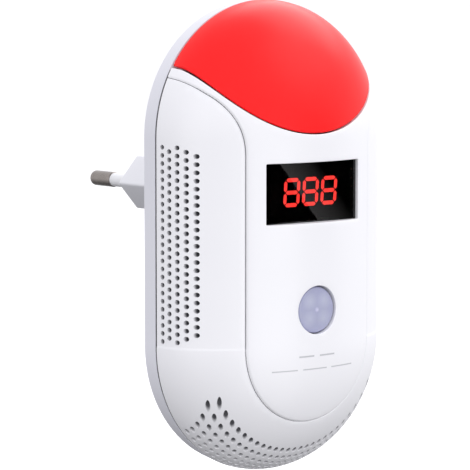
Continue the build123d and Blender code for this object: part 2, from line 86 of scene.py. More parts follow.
class Wire:
    # a socket of a node tree; sums on it add Math nodes
    def __init__(self, tree, socket=None):
        self.tree = tree
        self.socket = socket

    def make(self, kind, settings=None, inputs=None, output=0):
        node = self.tree.nodes.new(kind)
        for name, value in (settings or {}).items():
            if name == "stops":
                fillRamp(node.color_ramp, value)
            else:
                setattr(node, name, value)
        for name, value in (inputs or {}).items():
            if isinstance(value, Wire):
                self.tree.links.new(value.socket, node.inputs[name])
            else:
                node.inputs[name].default_value = value
        return Wire(self.tree, node.outputs[output]) if len(node.outputs) else node

    def other(self, output):
        # another output of the node that this socket is on
        return Wire(self.tree, self.socket.node.outputs[output])

    def sum(self, operation, *values):
        return self.make("ShaderNodeMath", {"operation": operation}, dict(enumerate(values)))

    def __add__(self, value):
        return self.sum("ADD", self, value)

    def __radd__(self, value):
        return self.sum("ADD", value, self)

    def __sub__(self, value):
        return self.sum("SUBTRACT", self, value)

    def __rsub__(self, value):
        return self.sum("SUBTRACT", value, self)

    def __mul__(self, value):
        return self.sum("MULTIPLY", self, value)

    def __rmul__(self, value):
        return self.sum("MULTIPLY", value, self)

    def __truediv__(self, value):
        return self.sum("DIVIDE", self, value)

    def __pow__(self, value):
        return self.sum("POWER", self, value)

    def __gt__(self, value):
        return self.sum("GREATER_THAN", self, value)

    def __lt__(self, value):
        return self.sum("LESS_THAN", self, value)

    def __abs__(self):
        return self.sum("ABSOLUTE", self)

    def clamped(self):
        return self.make("ShaderNodeClamp", None, {0: self})


def fillRamp(ramp, stops):
    while len(ramp.elements) < len(stops):
        ramp.elements.new(0.5)
    for element, (place, colour) in zip(ramp.elements, stops):
        element.position = place
        element.color = colour


def rgba(colour):
    return (*colour, 1.0)


# ---- materials


def newMaterial(name):
    # the tree, its Principled shader and Object coordinates in millimetres
    made = bpy.data.materials.new(name)
    made.use_nodes = True
    tree = made.node_tree
    start = Wire(tree)
    coordinates = start.make("ShaderNodeTexCoord", output=3)
    place = start.make(
        "ShaderNodeVectorMath", {"operation": "SCALE"}, {0: coordinates, "Scale": 1 / mm}
    )
    return made, tree.nodes["Principled BSDF"], place


def setShader(shader, **values):
    names = {
        "colour": "Base Color",
        "roughness": "Roughness",
        "metallic": "Metallic",
        "coat": "Coat Weight",
        "coatRoughness": "Coat Roughness",
        "specular": "Specular IOR Level",
        "transmission": "Transmission Weight",
        "ior": "IOR",
        "subsurface": "Subsurface Weight",
        "subsurfaceScale": "Subsurface Scale",
        "subsurfaceRadius": "Subsurface Radius",
        "sheen": "Sheen Weight",
        "glow": "Emission Color",
        "glowStrength": "Emission Strength",
        "normal": "Normal",
    }
    tree = shader.id_data
    for key, value in values.items():
        socket = shader.inputs[names[key]]
        if isinstance(value, Wire):
            tree.links.new(value.socket, socket)
        elif key in ("colour", "glow"):
            socket.default_value = rgba(value)
        else:
            socket.default_value = value


def noise(place, size, detail=2.0, roughness=0.5):
    # cloudy pattern whose blobs are about size millimetres across
    inputs = {"Vector": place, "Scale": 1 / size, "Detail": detail, "Roughness": roughness}
    return place.make("ShaderNodeTexNoise", None, inputs)


def mixColour(factor, first, second):
    inputs = {0: factor, 6: first, 7: second}
    for key in (6, 7):
        if not isinstance(inputs[key], Wire):
            inputs[key] = rgba(inputs[key])
    return factor.make("ShaderNodeMix", {"data_type": "RGBA"}, inputs, output=2)


def bump(height, distance, strength=1.0):
    # distance in millimetres
    inputs = {"Height": height, "Distance": distance * mm, "Strength": strength}
    return height.make("ShaderNodeBump", None, inputs)


def mouldedPlastic(name, colour, shade, roughness, grain=0.004, marks=None, coat=0.0):
    # Moulded plastic: faint cloudiness, a fine spark-eroded grain and slight flow waviness.
    made, shader, place = newMaterial(name)
    cloud = noise(place, 16.0, 3.0)
    fine = noise(place, 0.35, 2.0, 0.6)
    wave = noise(place, 7.0, 1.0)
    tint = mixColour(cloud, colour, shade)
    if marks:
        tint = mixColour(marks(place), tint, (0.25, 0.25, 0.28))
    rough = roughness - 0.04 + cloud * 0.05 + fine * 0.04
    height = fine * grain + wave * (grain * 2.5)
    setShader(
        shader, colour=tint, roughness=rough, normal=bump(height, 1.0), coat=coat, coatRoughness=0.12
    )
    return made


def paintedVentShade(domeSide, domeFront):
    # the shell's plastic inside a vent, painted darker the deeper it lies under the outer skin: painted
    # shade in the holes
    made, shader, place = newMaterial("ventWallPaintedShade")
    parts = place.make("ShaderNodeSeparateXYZ", None, {0: place})
    forward = (shell["seam"] - parts.other(1)) / domeFront
    skinReach = (1 - forward * forward).sum("MAXIMUM", 1 - forward * forward, 0.0) ** 0.5 * domeSide
    beyond = (abs(parts.other(2)) - spine).sum("MAXIMUM", abs(parts.other(2)) - spine, 0.0)
    reach = (parts * parts + beyond * beyond) ** 0.5
    full = ventPaintedShade["sides"] + (beyond > 0) * (ventPaintedShade["bottom"] - ventPaintedShade["sides"])
    depth = (skinReach - reach - ventPaintedShade["start"]) / full
    share = depth.clamped() ** ventPaintedShade["power"] + noise(place, 0.8) * 0.06
    tint = mixColour(share.clamped(), shellShade, ventPaintedShade["colour"])
    setShader(shader, colour=tint, roughness=0.45 + share * 0.2, normal=bump(noise(place, 0.35), 0.004))
    return made


legend = {
    "ink": 0.55,
    "rows": (
        (-28.3, 0.20, (-5.8, -1.2, 0.6, 5.6)),
        (-31.6, 0.15, (-13.2, -6.0, -4.4, 3.2, 4.8, 12.6)),
    ),
}


def legendMask(place):
    # Two rows of plain printed dashes under the button. Each row: height, thickness, dash ends.
    across = place.make("ShaderNodeSeparateXYZ", None, {0: place})
    back = across.other(1)
    up = across.other(2)
    total = None
    for middle, thickness, ends in legend["rows"]:
        onRow = abs(up - middle) < thickness
        for left, right in zip(ends[::2], ends[1::2]):
            dash = onRow * (abs(across - (left + right) / 2) < (right - left) / 2)
            total = dash if total is None else total + dash
    return total * (back < -20) * legend["ink"]


def redLensPlastic():
    # Tinted translucent plastic: deep red, light let in along the surface, glossy outside.
    made, shader, place = newMaterial("redLens")
    cloud = noise(place, 22.0, 2.0)
    fine = noise(place, 0.6, 2.0)
    tint = mixColour(cloud, (0.93, 0.007, 0.009), (0.97, 0.013, 0.014))
    setShader(
        shader, colour=tint, roughness=0.30 + fine * 0.05, normal=bump(fine, 0.004), specular=0.20,
        subsurface=0.3, subsurfaceScale=0.003, subsurfaceRadius=(1.0, 0.06, 0.05),
    )
    return made


def windowPlastic():
    # Smoke-tinted glossy acrylic; faint hairline marks in its polish.
    made, shader, place = newMaterial("windowSmoke")
    fine = noise(place, 1.6, 3.0)
    tint = mixColour(noise(place, 9.0), (0.13, 0.11, 0.12), (0.15, 0.13, 0.14))
    setShader(
        shader, colour=tint, roughness=0.004 + fine * 0.01, transmission=1.0, ior=1.49,
        normal=bump(fine, 0.0002),
    )
    return made


def segmentGlow():
    made, shader, place = newMaterial("segmentRed")
    cloud = noise(place, 1.2, 1.0)
    glow = mixColour(cloud, (1.0, 0.030, 0.022), (1.0, 0.075, 0.055))
    setShader(shader, colour=(0.5, 0.03, 0.03), roughness=0.4, glow=glow, glowStrength=9.0)
    return made


def buttonPlastic(centreZ):
    # Milky lavender plastic with four lighter pads round a bright dot.
    made, shader, place = newMaterial("buttonLavender")
    parts = place.make("ShaderNodeSeparateXYZ", None, {0: place})
    across, up = parts, parts.other(2) - centreZ
    lobe = button["padRing"] / sqrt(2)
    fromPad = ((abs(across) - lobe) ** 2 + (abs(up) - lobe) ** 2) ** 0.5
    pad = (1 - fromPad / button["padRadius"]).clamped()
    fromCentre = (across * across + up * up) ** 0.5
    dot = (1 - fromCentre / button["dotRadius"]).clamped()
    rim = ((fromCentre - button["radius"] * 0.80) / (button["radius"] * 0.2)).clamped()
    cloud = noise(place, 3.0, 2.0)
    tint = mixColour(pad * 0.8 + cloud * 0.2, (0.36, 0.37, 0.53), (0.46, 0.48, 0.60))
    tint = mixColour(dot * 0.9, tint, (0.58, 0.57, 0.76))
    tint = mixColour(rim * 0.5, tint, (0.34, 0.345, 0.50))
    setShader(
        shader, colour=tint, roughness=0.3 + cloud * 0.08, normal=bump(cloud, 0.01),
        subsurface=0.25, subsurfaceScale=0.003, subsurfaceRadius=(0.7, 0.7, 1.0), coat=0.15,
        coatRoughness=0.2,
    )
    return made


def nickel(name, colour, roughness, scratchAxis=1):
    # Plated metal with fine lengthwise draw lines and slightly duller patches.
    made, shader, place = newMaterial(name)
    stretch = [3.0, 3.0, 3.0]
    stretch[scratchAxis] = 0.12
    drawn = place.make("ShaderNodeMapping", None, {"Vector": place, "Scale": stretch})
    lines = noise(drawn, 0.8, 3.0)
    patches = noise(place, 2.6, 2.0)
    darker = tuple(0.72 * value for value in colour)
    setShader(
        shader, colour=mixColour(patches, darker, colour), metallic=1.0,
        roughness=roughness + lines * 0.10 + patches * 0.06, normal=bump(lines, 0.006),
    )
    return made


def circuitBoard():
    # Solder mask with raised tracks beneath it and a scatter of bright pads.
    made, shader, place = newMaterial("circuitBoard")
    flat = place.make("ShaderNodeVectorMath", {"operation": "MULTIPLY"}, {0: place, 1: (1, 0, 1)})
    brick = {"Vector": flat, "Scale": 0.22, "Mortar Size": 0.06, "Brick Width": 1.4, "Row Height": 0.35}
    turned = flat.make("ShaderNodeMapping", None, {"Vector": flat, "Rotation": (pi / 2, 0, 0)})
    tracks = flat.make("ShaderNodeTexBrick", None, {**brick, "Vector": turned}, output=1)
    dots = flat.make("ShaderNodeTexVoronoi", None, {"Vector": flat, "Scale": 0.42, "Randomness": 0.25})
    pads = dots < 0.16
    green = mixColour(tracks, (0.012, 0.10, 0.035), (0.02, 0.17, 0.06))
    setShader(
        shader, colour=mixColour(pads, green, (0.75, 0.66, 0.42)), metallic=pads * 0.9,
        roughness=0.38 - pads * 0.1, normal=bump(tracks + pads, 0.03), coat=0.3,
    )
    return made


def wovenMesh():
    # Fine steel gauze: dark openings between crossing wires.
    made, shader, place = newMaterial("steelGauze")
    parts = place.make("ShaderNodeSeparateXYZ", None, {0: place})
    wires = None
    for side in (parts, parts.other(2)):
        ridge = abs((side * (2 * pi / 0.45)).sum("SINE", side * (2 * pi / 0.45)))
        wires = ridge if wires is None else wires.sum("MAXIMUM", wires, ridge)
    setShader(
        shader, colour=mixColour(wires, (0.02, 0.02, 0.02), (0.55, 0.55, 0.56)), metallic=0.85,
        roughness=0.45 - wires * 0.15, normal=bump(wires, 0.1),
    )
    return made


def felt():
    # Matted grey fibres.
    made, shader, place = newMaterial("dustFelt")
    fibres = noise(place, 0.5, 6.0, 0.75)
    tufts = noise(place, 2.2, 3.0)
    tint = mixColour(fibres * 0.7 + tufts * 0.3, (0.010, 0.010, 0.013), (0.045, 0.045, 0.055))
    setShader(shader, colour=tint, roughness=0.95, normal=bump(fibres, 0.25), sheen=0.2)
    return made


def film(name, colour, shade, roughness):
    # Printed film: slight orange-peel under a thin gloss.
    made, shader, place = newMaterial(name)
    peel = noise(place, 0.8, 2.0)
    setShader(
        shader, colour=mixColour(noise(place, 6.0), colour, shade), roughness=roughness + peel * 0.08,
        normal=bump(peel, 0.01), coat=0.2,
    )
    return made


def speckled(name, colour, shade, roughness, size, metallic=0.0, depth=0.02):
    # Ceramic, ferrite, dipped coatings and cast metal: coarse speckle and a matching bump.
    made, shader, place = newMaterial(name)
    speck = noise(place, size, 4.0, 0.7)
    setShader(
        shader, colour=mixColour(speck, colour, shade), roughness=roughness - 0.05 + speck * 0.1,
        metallic=metallic, normal=bump(speck, depth),
    )
    return made


def clearResin():
    made, shader, place = newMaterial("ledResin")
    cloud = noise(place, 1.5, 2.0)
    tint = mixColour(cloud, (0.90, 0.90, 0.92), (0.97, 0.97, 0.99))
    setShader(shader, colour=tint, roughness=0.08 + cloud * 0.05, transmission=0.7, ior=1.5)
    return made


def windingTape():
    # Yellow tape lapped round the winding, with the wire's ridges showing through.
    made, shader, place = newMaterial("windingTape")
    parts = place.make("ShaderNodeSeparateXYZ", None, {0: place})
    wound = parts.other(2) * (2 * pi / 0.5)
    ridge = abs(wound.sum("SINE", wound))
    setShader(
        shader, colour=mixColour(ridge, (0.55, 0.36, 0.03), (0.85, 0.62, 0.08)), roughness=0.32,
        normal=bump(ridge, 0.06), coat=0.3,
    )
    return made


button = {
    "radius": (buttonHigh.x - buttonLow.x) / 2 - 1.4,
    "flange": 1.4,
    "flangeThick": 1.0,
    "back": 3.45,
    "hollow": 1.6,
    "skirt": 1.0,
    "padRing": 3.0,
    "padRadius": 2.5,
    "dotRadius": 0.75,
    "forward": 0.45,
    "padRise": 0.10,
    "dotRise": 0.12,
    "edge": 0.7,
    "crown": 0.25,
    "rings": 30,
    "turns": 96,
}
buttonZ = (buttonLow.z + buttonHigh.z) / 2

shellWhite = (0.832, 0.829, 0.858)
shellShade = (0.808, 0.806, 0.838)
# where the painted shade on the vent walls starts and ends under the skin, how it grows, and its dark colour
ventPaintedShade = {"start": 0.05, "sides": 1.20, "bottom": 0.70, "power": 1.0, "colour": (0.085, 0.085, 0.095)}
ventShadePlastic = paintedVentShade(endRadius, domeDepth)
# dark grey laid on the groove floor round the panel and in the seam between the covers: painted shade
recessPaintedShade = mouldedPlastic("recessFloorPaintedShade", (0.16, 0.16, 0.175), (0.20, 0.20, 0.215), 0.5)
materials = {
    "white_shell": mouldedPlastic("whiteShell", shellWhite, shellShade, 0.34, 0.0035, legendMask, 0.08),
    # the rear cover's grey is set darker than the front's white so that the band round the back reads
    # darker: painted shade
    "rear_shell": mouldedPlastic("rearShellPaintedShade", (0.70, 0.70, 0.755), (0.67, 0.67, 0.73), 0.42, 0.006),
    "red_lens": redLensPlastic(),
    "window_glass": windowPlastic(),
    "module_black": mouldedPlastic("moduleBlack", (0.006, 0.006, 0.007), (0.012, 0.012, 0.013), 0.5),
    "segment_red": segmentGlow(),
    "button_tint": buttonPlastic(buttonZ),
    "spring_steel": nickel("springSteel", (0.62, 0.62, 0.63), 0.22),
    "black_plastic": mouldedPlastic("blackPlastic", (0.015, 0.015, 0.016), (0.03, 0.03, 0.032), 0.45),
    "led_clear": clearResin(),
    "circuit_board": circuitBoard(),
    "chip_black": speckled("chipBlack", (0.010, 0.010, 0.011), (0.028, 0.028, 0.030), 0.6, 0.25),
    "chip_ceramic": speckled("chipCeramic", (0.38, 0.27, 0.17), (0.50, 0.38, 0.26), 0.5, 0.3),
    "tinned_pins": nickel("tinnedPins", (0.72, 0.72, 0.73), 0.28),
    "steel_can": nickel("steelCan", (0.60, 0.60, 0.61), 0.25),
    "steel_mesh": wovenMesh(),
    "white_ceramic": speckled("whiteCeramic", (0.72, 0.72, 0.70), (0.82, 0.82, 0.80), 0.55, 0.4),
    "brass_part": nickel("brassPart", (0.78, 0.56, 0.22), 0.27),
    "ferrite": speckled("ferrite", (0.035, 0.035, 0.038), (0.075, 0.075, 0.080), 0.6, 0.35, 0.2),
    "bobbin_plastic": mouldedPlastic("bobbinPlastic", (0.03, 0.03, 0.032), (0.05, 0.05, 0.05), 0.5),
    "winding_tape": windingTape(),
    "can_sleeve": film("canSleeve", (0.010, 0.012, 0.030), (0.018, 0.02, 0.045), 0.3),
    "varistor_blue": speckled("varistorBlue", (0.02, 0.09, 0.38), (0.04, 0.14, 0.48), 0.35, 0.5),
    "fuse_grey": speckled("fuseGrey", (0.28, 0.28, 0.27), (0.38, 0.38, 0.36), 0.5, 0.3),
    "reflector_white": mouldedPlastic("reflectorWhite", (0.82, 0.82, 0.82), (0.87, 0.87, 0.87), 0.25),
    "ribbon_film": film("ribbonFilm", (0.62, 0.34, 0.06), (0.70, 0.42, 0.10), 0.3),
    "plug_white": mouldedPlastic("plugWhite", (0.70, 0.70, 0.735), (0.675, 0.675, 0.715), 0.38, 0.005),
    "pin_nickel": nickel("pinNickel", (0.30, 0.27, 0.25), 0.20),
    "sleeve_white": mouldedPlastic("sleeveWhite", (0.77, 0.77, 0.79), (0.74, 0.74, 0.765), 0.4, 0.005),
    "screw_steel": nickel("screwSteel", (0.50, 0.50, 0.52), 0.26),
    "filter_felt": felt(),
    "label_film": film("labelFilm", (0.74, 0.74, 0.76), (0.70, 0.70, 0.725), 0.38),
}

# the CAD nodes that stay in view get the same finishes
for node in nodes.values():
    held = node.data.materials[0].name.split(".")[0] if node.data.materials else ""
    if held in materials:
        node.data.materials[0] = materials[held]
print("materials", len(materials))

# ---- mesh tools


def addPiece(name, points, faces, slot, smoothAngle=32.0):
    # points in millimetres
    mesh = bpy.data.meshes.new(name)
    mesh.from_pydata([tuple(point) for point in np.asarray(points) * mm], [], faces)
    piece = bpy.data.objects.new(name, mesh)
    bpy.context.scene.collection.objects.link(piece)
    tidyNormals(piece, smoothAngle)
    mesh.materials.append(materials[slot])
    return piece


def tidyNormals(piece, smoothAngle):
    form = bmesh.new()
    form.from_mesh(piece.data)
    bmesh.ops.remove_doubles(form, verts=form.verts, dist=1e-7)
    bmesh.ops.dissolve_degenerate(form, edges=form.edges, dist=1e-8)
    bmesh.ops.recalc_face_normals(form, faces=form.faces)
    loose = sum(1 for edge in form.edges if not edge.is_manifold)
    form.to_mesh(piece.data)
    form.free()
    piece.data.shade_smooth()
    piece.data.set_sharp_from_angle(angle=radians(smoothAngle))
    print(piece.name, len(piece.data.polygons), "faces", loose, "open edges")


class Body:
    # gathers points and faces of a closed form made of patches and strips
    def __init__(self):
        self.points = []
        self.faces = []

    def add(self, points):
        start = len(self.points)
        self.points.extend(tuple(point) for point in points)
        return list(range(start, len(self.points)))

    def strip(self, first, second):
        # closed band between two loops of the same count
        count = len(first)
        for here in range(count):
            after = (here + 1) % count
            self.faces.append((first[here], first[after], second[after], second[here]))

    def band(self, rows):
        loops = [self.add(row) for row in rows]
        for first, second in zip(loops, loops[1:]):
            self.strip(first, second)
        return loops[0], loops[-1]

    def cap(self, loop):
        self.faces.append(tuple(loop))

    def fan(self, loop, point):
        middle = self.add([point])[0]
        for here in range(len(loop)):
            self.faces.append((loop[here], loop[(here + 1) % len(loop)], middle))


def crossingTest(places, polygon):
    # True for each place inside the polygon
    inside = np.zeros(len(places), bool)
    x, z = places[:, 0], places[:, 1]
    for (ax, az), (bx, bz) in zip(polygon, np.roll(polygon, -1, axis=0)):
        crosses = (az > z) != (bz > z)
        at = ax + (z - az) * (bx - ax) / (bz - az if bz != az else 1e-12)
        inside ^= crosses & (x < at)
    return inside


def distanceTo(places, line, closed=False):
    # shortest distance from each place to a polyline
    ends = np.roll(line, -1, axis=0) if closed else line[1:]
    starts = line if closed else line[:-1]
    best = np.full(len(places), 1e9)
    for start, end in zip(starts, ends):
        along = end - start
        share = np.clip(((places - start) @ along) / max(along @ along, 1e-12), 0, 1)
        best = np.minimum(best, np.hypot(*(places - start - share[:, None] * along).T))
    return best


def shifted(line, amount):
    # the line moved sideways, to the left of its direction
    along = np.gradient(line, axis=0)
    along /= np.maximum(np.hypot(*along.T), 1e-9)[:, None]
    return line + amount * np.column_stack([-along[:, 1], along[:, 0]])


def resampled(line, step, closed=False):
    if closed:
        line = np.vstack([line, line[:1]])
    lengths = np.concatenate([[0], np.cumsum(np.hypot(*np.diff(line, axis=0).T))])
    count = max(2, int(round(lengths[-1] / step)) + 1)
    marks = np.linspace(0, lengths[-1], count)
    made = np.column_stack([np.interp(marks, lengths, line[:, axis]) for axis in (0, 1)])
    return made[:-1] if closed else made


def arcPoints(centre, radius, start, end, step=1.0):
    # angles in degrees, from +X towards +Z
    count = max(2, int(abs(radians(end - start)) * radius / step) + 1)
    angles = np.radians(np.linspace(start, end, count))
    return np.column_stack([centre[0] + radius * np.cos(angles), centre[1] + radius * np.sin(angles)])


def roundedRectangle(halfWidth, halfHeight, radius, centreZ, counts, turn=5):
    # counts are the spans of a level side and of an upright one, so rows of any size match
    arcs = []
    for sideX, sideZ, start in ((1, 1, 0), (-1, 1, 90), (-1, -1, 180), (1, -1, 270)):
        angles = np.radians(np.linspace(start, start + 90, turn + 1))
        centre = np.array((sideX * (halfWidth - radius), sideZ * (halfHeight - radius)))
        arcs.append(centre + radius * np.column_stack([np.cos(angles), np.sin(angles)]))
    made = []
    for here in range(4):
        begin, end = arcs[here][-1], arcs[(here + 1) % 4][0]
        shares = np.linspace(0, 1, counts[here % 2] + 1)[1:-1, None]
        made += [arcs[here], begin + shares * (end - begin)]
    return np.vstack(made) + (0, centreZ)


def hexGrid(halfWidth, halfHeight, spacing):
    rows = np.arange(-halfHeight, halfHeight, spacing * sqrt(3) / 2)
    columns = np.arange(-halfWidth, halfWidth, spacing)
    offset = (np.arange(len(rows)) % 2) * spacing / 2
    return np.array([(x + offset[row], z) for row, z in enumerate(rows) for x in columns])


def reachedFaces(faces, walls, start):
    # the faces that can be reached from one of them without crossing a wall
    beside = {}
    around = ((0, 1), (1, 2), (2, 0))
    sides = [[frozenset((face[a], face[b])) for a, b in around] for face in faces.tolist()]
    for index, edges in enumerate(sides):
        for edge in edges:
            beside.setdefault(edge, []).append(index)
    reached = {start}
    waiting = [start]
    while waiting:
        for edge in sides[waiting.pop()]:
            for other in () if edge in walls else beside[edge]:
                if other not in reached:
                    reached.add(other)
                    waiting.append(other)
    return faces[sorted(reached)]


def triangulated(loops, lines, spacing, inside, half, seed):
    # Triangles over a flat region: its border loops, the lines that it must follow and a grid.
    points, edges, spans = [], [], []
    for line in loops:
        start = len(points)
        spans.append((start, len(line)))
        points.extend(line)
        edges += [(start + step, start + (step + 1) % len(line)) for step in range(len(line))]
    borderCount = len(edges)
    for line in lines:
        start = len(points)
        points.extend(line)
        edges += [(start + step, start + step + 1) for step in range(len(line) - 1)]
    drawn = np.array(points)
    grid = hexGrid(*half, spacing)
    grid = grid[inside(grid)]
    gaps = np.full(len(grid), 1e9)
    for point in drawn:
        gaps = np.minimum(gaps, np.hypot(*(grid - point).T))
    grid = grid[gaps > spacing * 0.6]
    flat = [Vector(point) for point in np.vstack([drawn, grid])]
    made = delaunay_2d_cdt(flat, edges, [], 0, 1e-6)
    places = np.array([tuple(point) for point in made[0]])
    newIndex = {old: index for index, olds in enumerate(made[3]) for old in olds}
    walls = {
        frozenset(edge) for edge, olds in zip(made[1], made[4]) if any(old < borderCount for old in olds)
    }
    faces = np.array(made[2])
    middles = places[faces].mean(axis=1)
    start = int(np.argmin(np.hypot(*(middles - seed).T)))
    faces = reachedFaces(faces, walls, start)
    keptLoops = [[newIndex[start + step] for step in range(count)] for start, count in spans]
    return places, faces, keptLoops


def borderLoops(faces):
    # the open borders of a triangle patch, in order
    directed = {(face[a], face[b]) for face in faces.tolist() for a, b in ((0, 1), (1, 2), (2, 0))}
    follow = {a: b for a, b in directed if (b, a) not in directed}
    loops = []
    while follow:
        start = next(iter(follow))
        loop = [start]
        after = follow.pop(start)
        while after != start:
            loop.append(after)
            after = follow.pop(after)
        loops.append(loop)
    return loops


def used(places, faces, body, lift):
    # adds the patch's points, returns their indices in the body
    index = body.add(lift(places))
    body.faces.extend(tuple(index[corner] for corner in face) for face in faces.tolist())
    return index


# ---- the dome, unrolled flat: distances along the surface from the spine

arcAngle = np.linspace(0, pi / 2, 1441)
arcSlope = np.hypot(endRadius * np.cos(arcAngle), domeDepth * np.sin(arcAngle))
arcLength = np.concatenate([[0], np.cumsum((arcSlope[1:] + arcSlope[:-1]) / 2 * np.diff(arcAngle))])
fullArc = arcLength[-1]


def unrolled(front):
    # front view (x, z) to the unrolled dome
    front = np.atleast_2d(front)
    foot = np.clip(front[:, 1], -spine, spine)
    away = front - np.column_stack([np.zeros(len(front)), foot])
    reach = np.hypot(*away.T)
    angle = np.arcsin(np.clip(reach / endRadius, 0, 1))
    length = np.interp(angle, arcAngle, arcLength) + np.maximum(reach - endRadius, 0)
    return away * (length / np.maximum(reach, 1e-9))[:, None] + np.column_stack([0 * foot, foot])


def onDome(places, side=endRadius, depth=domeDepth):
    # unrolled places to points on a dome of that reach and depth
    foot = np.clip(places[:, 1], -spine, spine)
    away = places - np.column_stack([np.zeros(len(places)), foot])
    length = np.hypot(*away.T)
    angle = np.interp(length, arcLength, arcAngle)
    reach = side * np.sin(angle) / np.maximum(length, 1e-9)
    return np.column_stack(
        [away[:, 0] * reach, shell["seam"] - depth * np.cos(angle), foot + away[:, 1] * reach]
    )


def frontView(places):
    return onDome(places)[:, [0, 2]]


def innerDome(places):
    return onDome(places, endRadius - shell["wall"], domeDepth - shell["wall"])


def smoothStep(values):
    share = np.clip(values, 0, 1)
    return share * share * (3 - 2 * share)


def seamReach(rim):
    # unrolled distance at which the skin ends, short of the seam gap by the rim's rounding
    return np.interp(np.arccos((shell["seamGap"] / 2 + rim) / domeDepth), arcAngle, arcLength)


lensEdge = {"z": 60.5, "radius": 33.7, "gap": 0.3}


def hornAngle(radius, reach):
    # angle on the lens edge circle, below level, at which it meets the housing's outline
    between = lensEdge["z"] - spine
    below = (radius**2 + between**2 - reach**2) / (2 * radius * between)
    return 90 - np.degrees(np.arccos(below))


def stadiumArc(length, startAngle, endAngle, lower):
    # part of the unrolled outline at that distance from the spine
    centre = (0, -spine if lower else spine)
    return arcPoints(centre, length, startAngle, endAngle)


def lensArc(radius, rim):
    # the lens edge from its right end to its left end, in the front view
    reach = endRadius * sin(np.interp(seamReach(rim), arcLength, arcAngle))
    horn = hornAngle(radius, reach)
    return arcPoints((0, lensEdge["z"]), radius, -horn, -180 + horn, 0.5)


# ---- front cover

cover = {
    "rim": 0.22,
    "openingRim": 0.16,
    "openingHalf": (14.85, 7.55),
    "openingCorner": 0.35,
    "openingZ": 12.4,
    "frameMargin": 0.8,
    "frameWidth": 1.1,
    "frameBack": -22.6,
    "windowGap": 0.02,
    "buttonGap": 0.3,
    "buttonFrame": 2.0,
    "buttonFrameBack": -25.0,
    "panelHalf": 19.4,
    "flareStart": 22.0,
    "flareRadius": 20.0,
    "flareTurn": 50.0,
    "flareTip": (2.0, 9.5),
    "sideFoot": -25.5,
    "sideDrop": 0.10,
    "stepWidth": 0.42,
    "stepRows": (-0.62, -0.50, -0.43, -0.36, -0.29, -0.20, -0.10, 0.03, 0.14, 0.25),
    "stepPitch": 0.7,
    "footRows": (-0.6, -0.36, -0.12, 0.12, 0.36, 0.6),
    "footWidth": 0.7,
    "grooveWidth": 0.12,
    "grooveDepth": 0.30,
    "grooveFloor": 0.09,
    "groovePlace": -0.36,
}


def panelLine():
    # right foot of the raised panel, up and out along the flare to its tip, in the front view
    half, turn = cover["panelHalf"], cover["flareTurn"]
    centre = (half + cover["flareRadius"], cover["flareStart"])
    flare = arcPoints(centre, cover["flareRadius"], 180, 180 - turn, 0.7)
    tip = (endRadius + cover["flareTip"][0], flare[-1][1] + cover["flareTip"][1])
    bottom = arcPoints((0, -spine), half, -90, 0, 0.9)
    straight = np.array([(half, z) for z in np.arange(-spine, cover["flareStart"], 1.0)])
    outward = np.linspace(flare[-1], tip, 24)[1:]
    return np.vstack([bottom, straight[1:], flare, outward])


rightPanel = unrolled(panelLine())
leftPanel = rightPanel[::-1] * (-1, 1)
wholePanel = np.vstack([leftPanel, rightPanel[1:]])
panelPolygon = np.vstack([wholePanel, [(80, 120), (-80, 120)]])


def intoPanel(places):
    # distance inside the panel's outline, negative outside it
    gap = distanceTo(places, wholePanel)
    return np.where(crossingTest(places, panelPolygon), gap, -gap)


def coverLevels(places):
    # reach and depth of the dome at each place: raised panel, sunk sides and the level between
    signed = intoPanel(places)
    inPanel = smoothStep(signed / cover["stepWidth"] + 0.5)
    aboveFoot = smoothStep((places[:, 1] - cover["sideFoot"]) / cover["footWidth"] + 0.5)
    inSide = (1 - inPanel) * aboveFoot
    groove = np.exp(-(((signed - cover["groovePlace"]) / cover["grooveWidth"]) ** 2))
    sunk = cover["sideDrop"] * inSide + cover["grooveDepth"] * groove
    return endRadius - sunk, domeDepth + shell["panelRise"] * inPanel - sunk


def coverSkin(places):
    return onDome(places, *coverLevels(places))


def stepLines():
    # rows of points on both sides of each step, close enough to carry its rounding
    lines = []
    for amount in cover["stepRows"]:
        lines.append(shifted(resampled(wholePanel, cover["stepPitch"]), amount))
    for share in cover["footRows"]:
        height = cover["sideFoot"] + share * cover["footWidth"]
        for side in (-1, 1):
            start = unrolled([(side * (cover["panelHalf"] + 0.5), height)])[0][0]
            lines.append(np.array([(x, height) for x in np.linspace(start, side * fullArc, 30)]))
    return lines


def coverOutline(rim):
    # the cover's border, unrolled: down the right side, round the bottom, up and along the lens
    edge = seamReach(rim)
    lens = unrolled(lensArc(lensEdge["radius"] + rim, rim))
    right, left = lens[0], lens[-1]
    startAngle = np.degrees(atan2(right[1] - spine, right[0]))
    upper = stadiumArc(edge, startAngle, 0, False)
    straight = np.array([(edge, z) for z in np.arange(spine - 1, -spine, -1.0)])
    bottom = stadiumArc(edge, 0, -180, True)
    upperLeft = upper[::-1] * (-1, 1)
    loop = np.vstack([upper, straight, bottom, straight[::-1] * (-1, 1), upperLeft, lens[::-1][1:-1]])
    return loop


def insideCover(edge, lensRadius, openings):
    def test(places):
        foot = np.clip(places[:, 1], -spine, spine)
        reach = np.hypot(places[:, 0], places[:, 1] - foot)
        front = frontView(places)
        kept = reach < edge + 1e-4
        kept &= np.hypot(front[:, 0], front[:, 1] - lensEdge["z"]) > lensRadius
        for polygon in openings:
            kept &= ~crossingTest(front, polygon)
        return kept

    return test


def displayLoop(grow):
    half = cover["openingHalf"]
    radius = max(cover["openingCorner"] + grow, 0.05)
    return roundedRectangle(half[0] + grow, half[1] + grow, radius, cover["openingZ"], (30, 16))


def circleLoop(x, z, radius, count=72):
    angles = np.linspace(0, 2 * pi, count, endpoint=False)
    return np.column_stack([x + radius * np.cos(angles), z + radius * np.sin(angles)])


def atDepth(front, y):
    # front-view loop to points at one Y or at many
    return np.column_stack([front[:, 0], np.broadcast_to(y, len(front)), front[:, 1]])


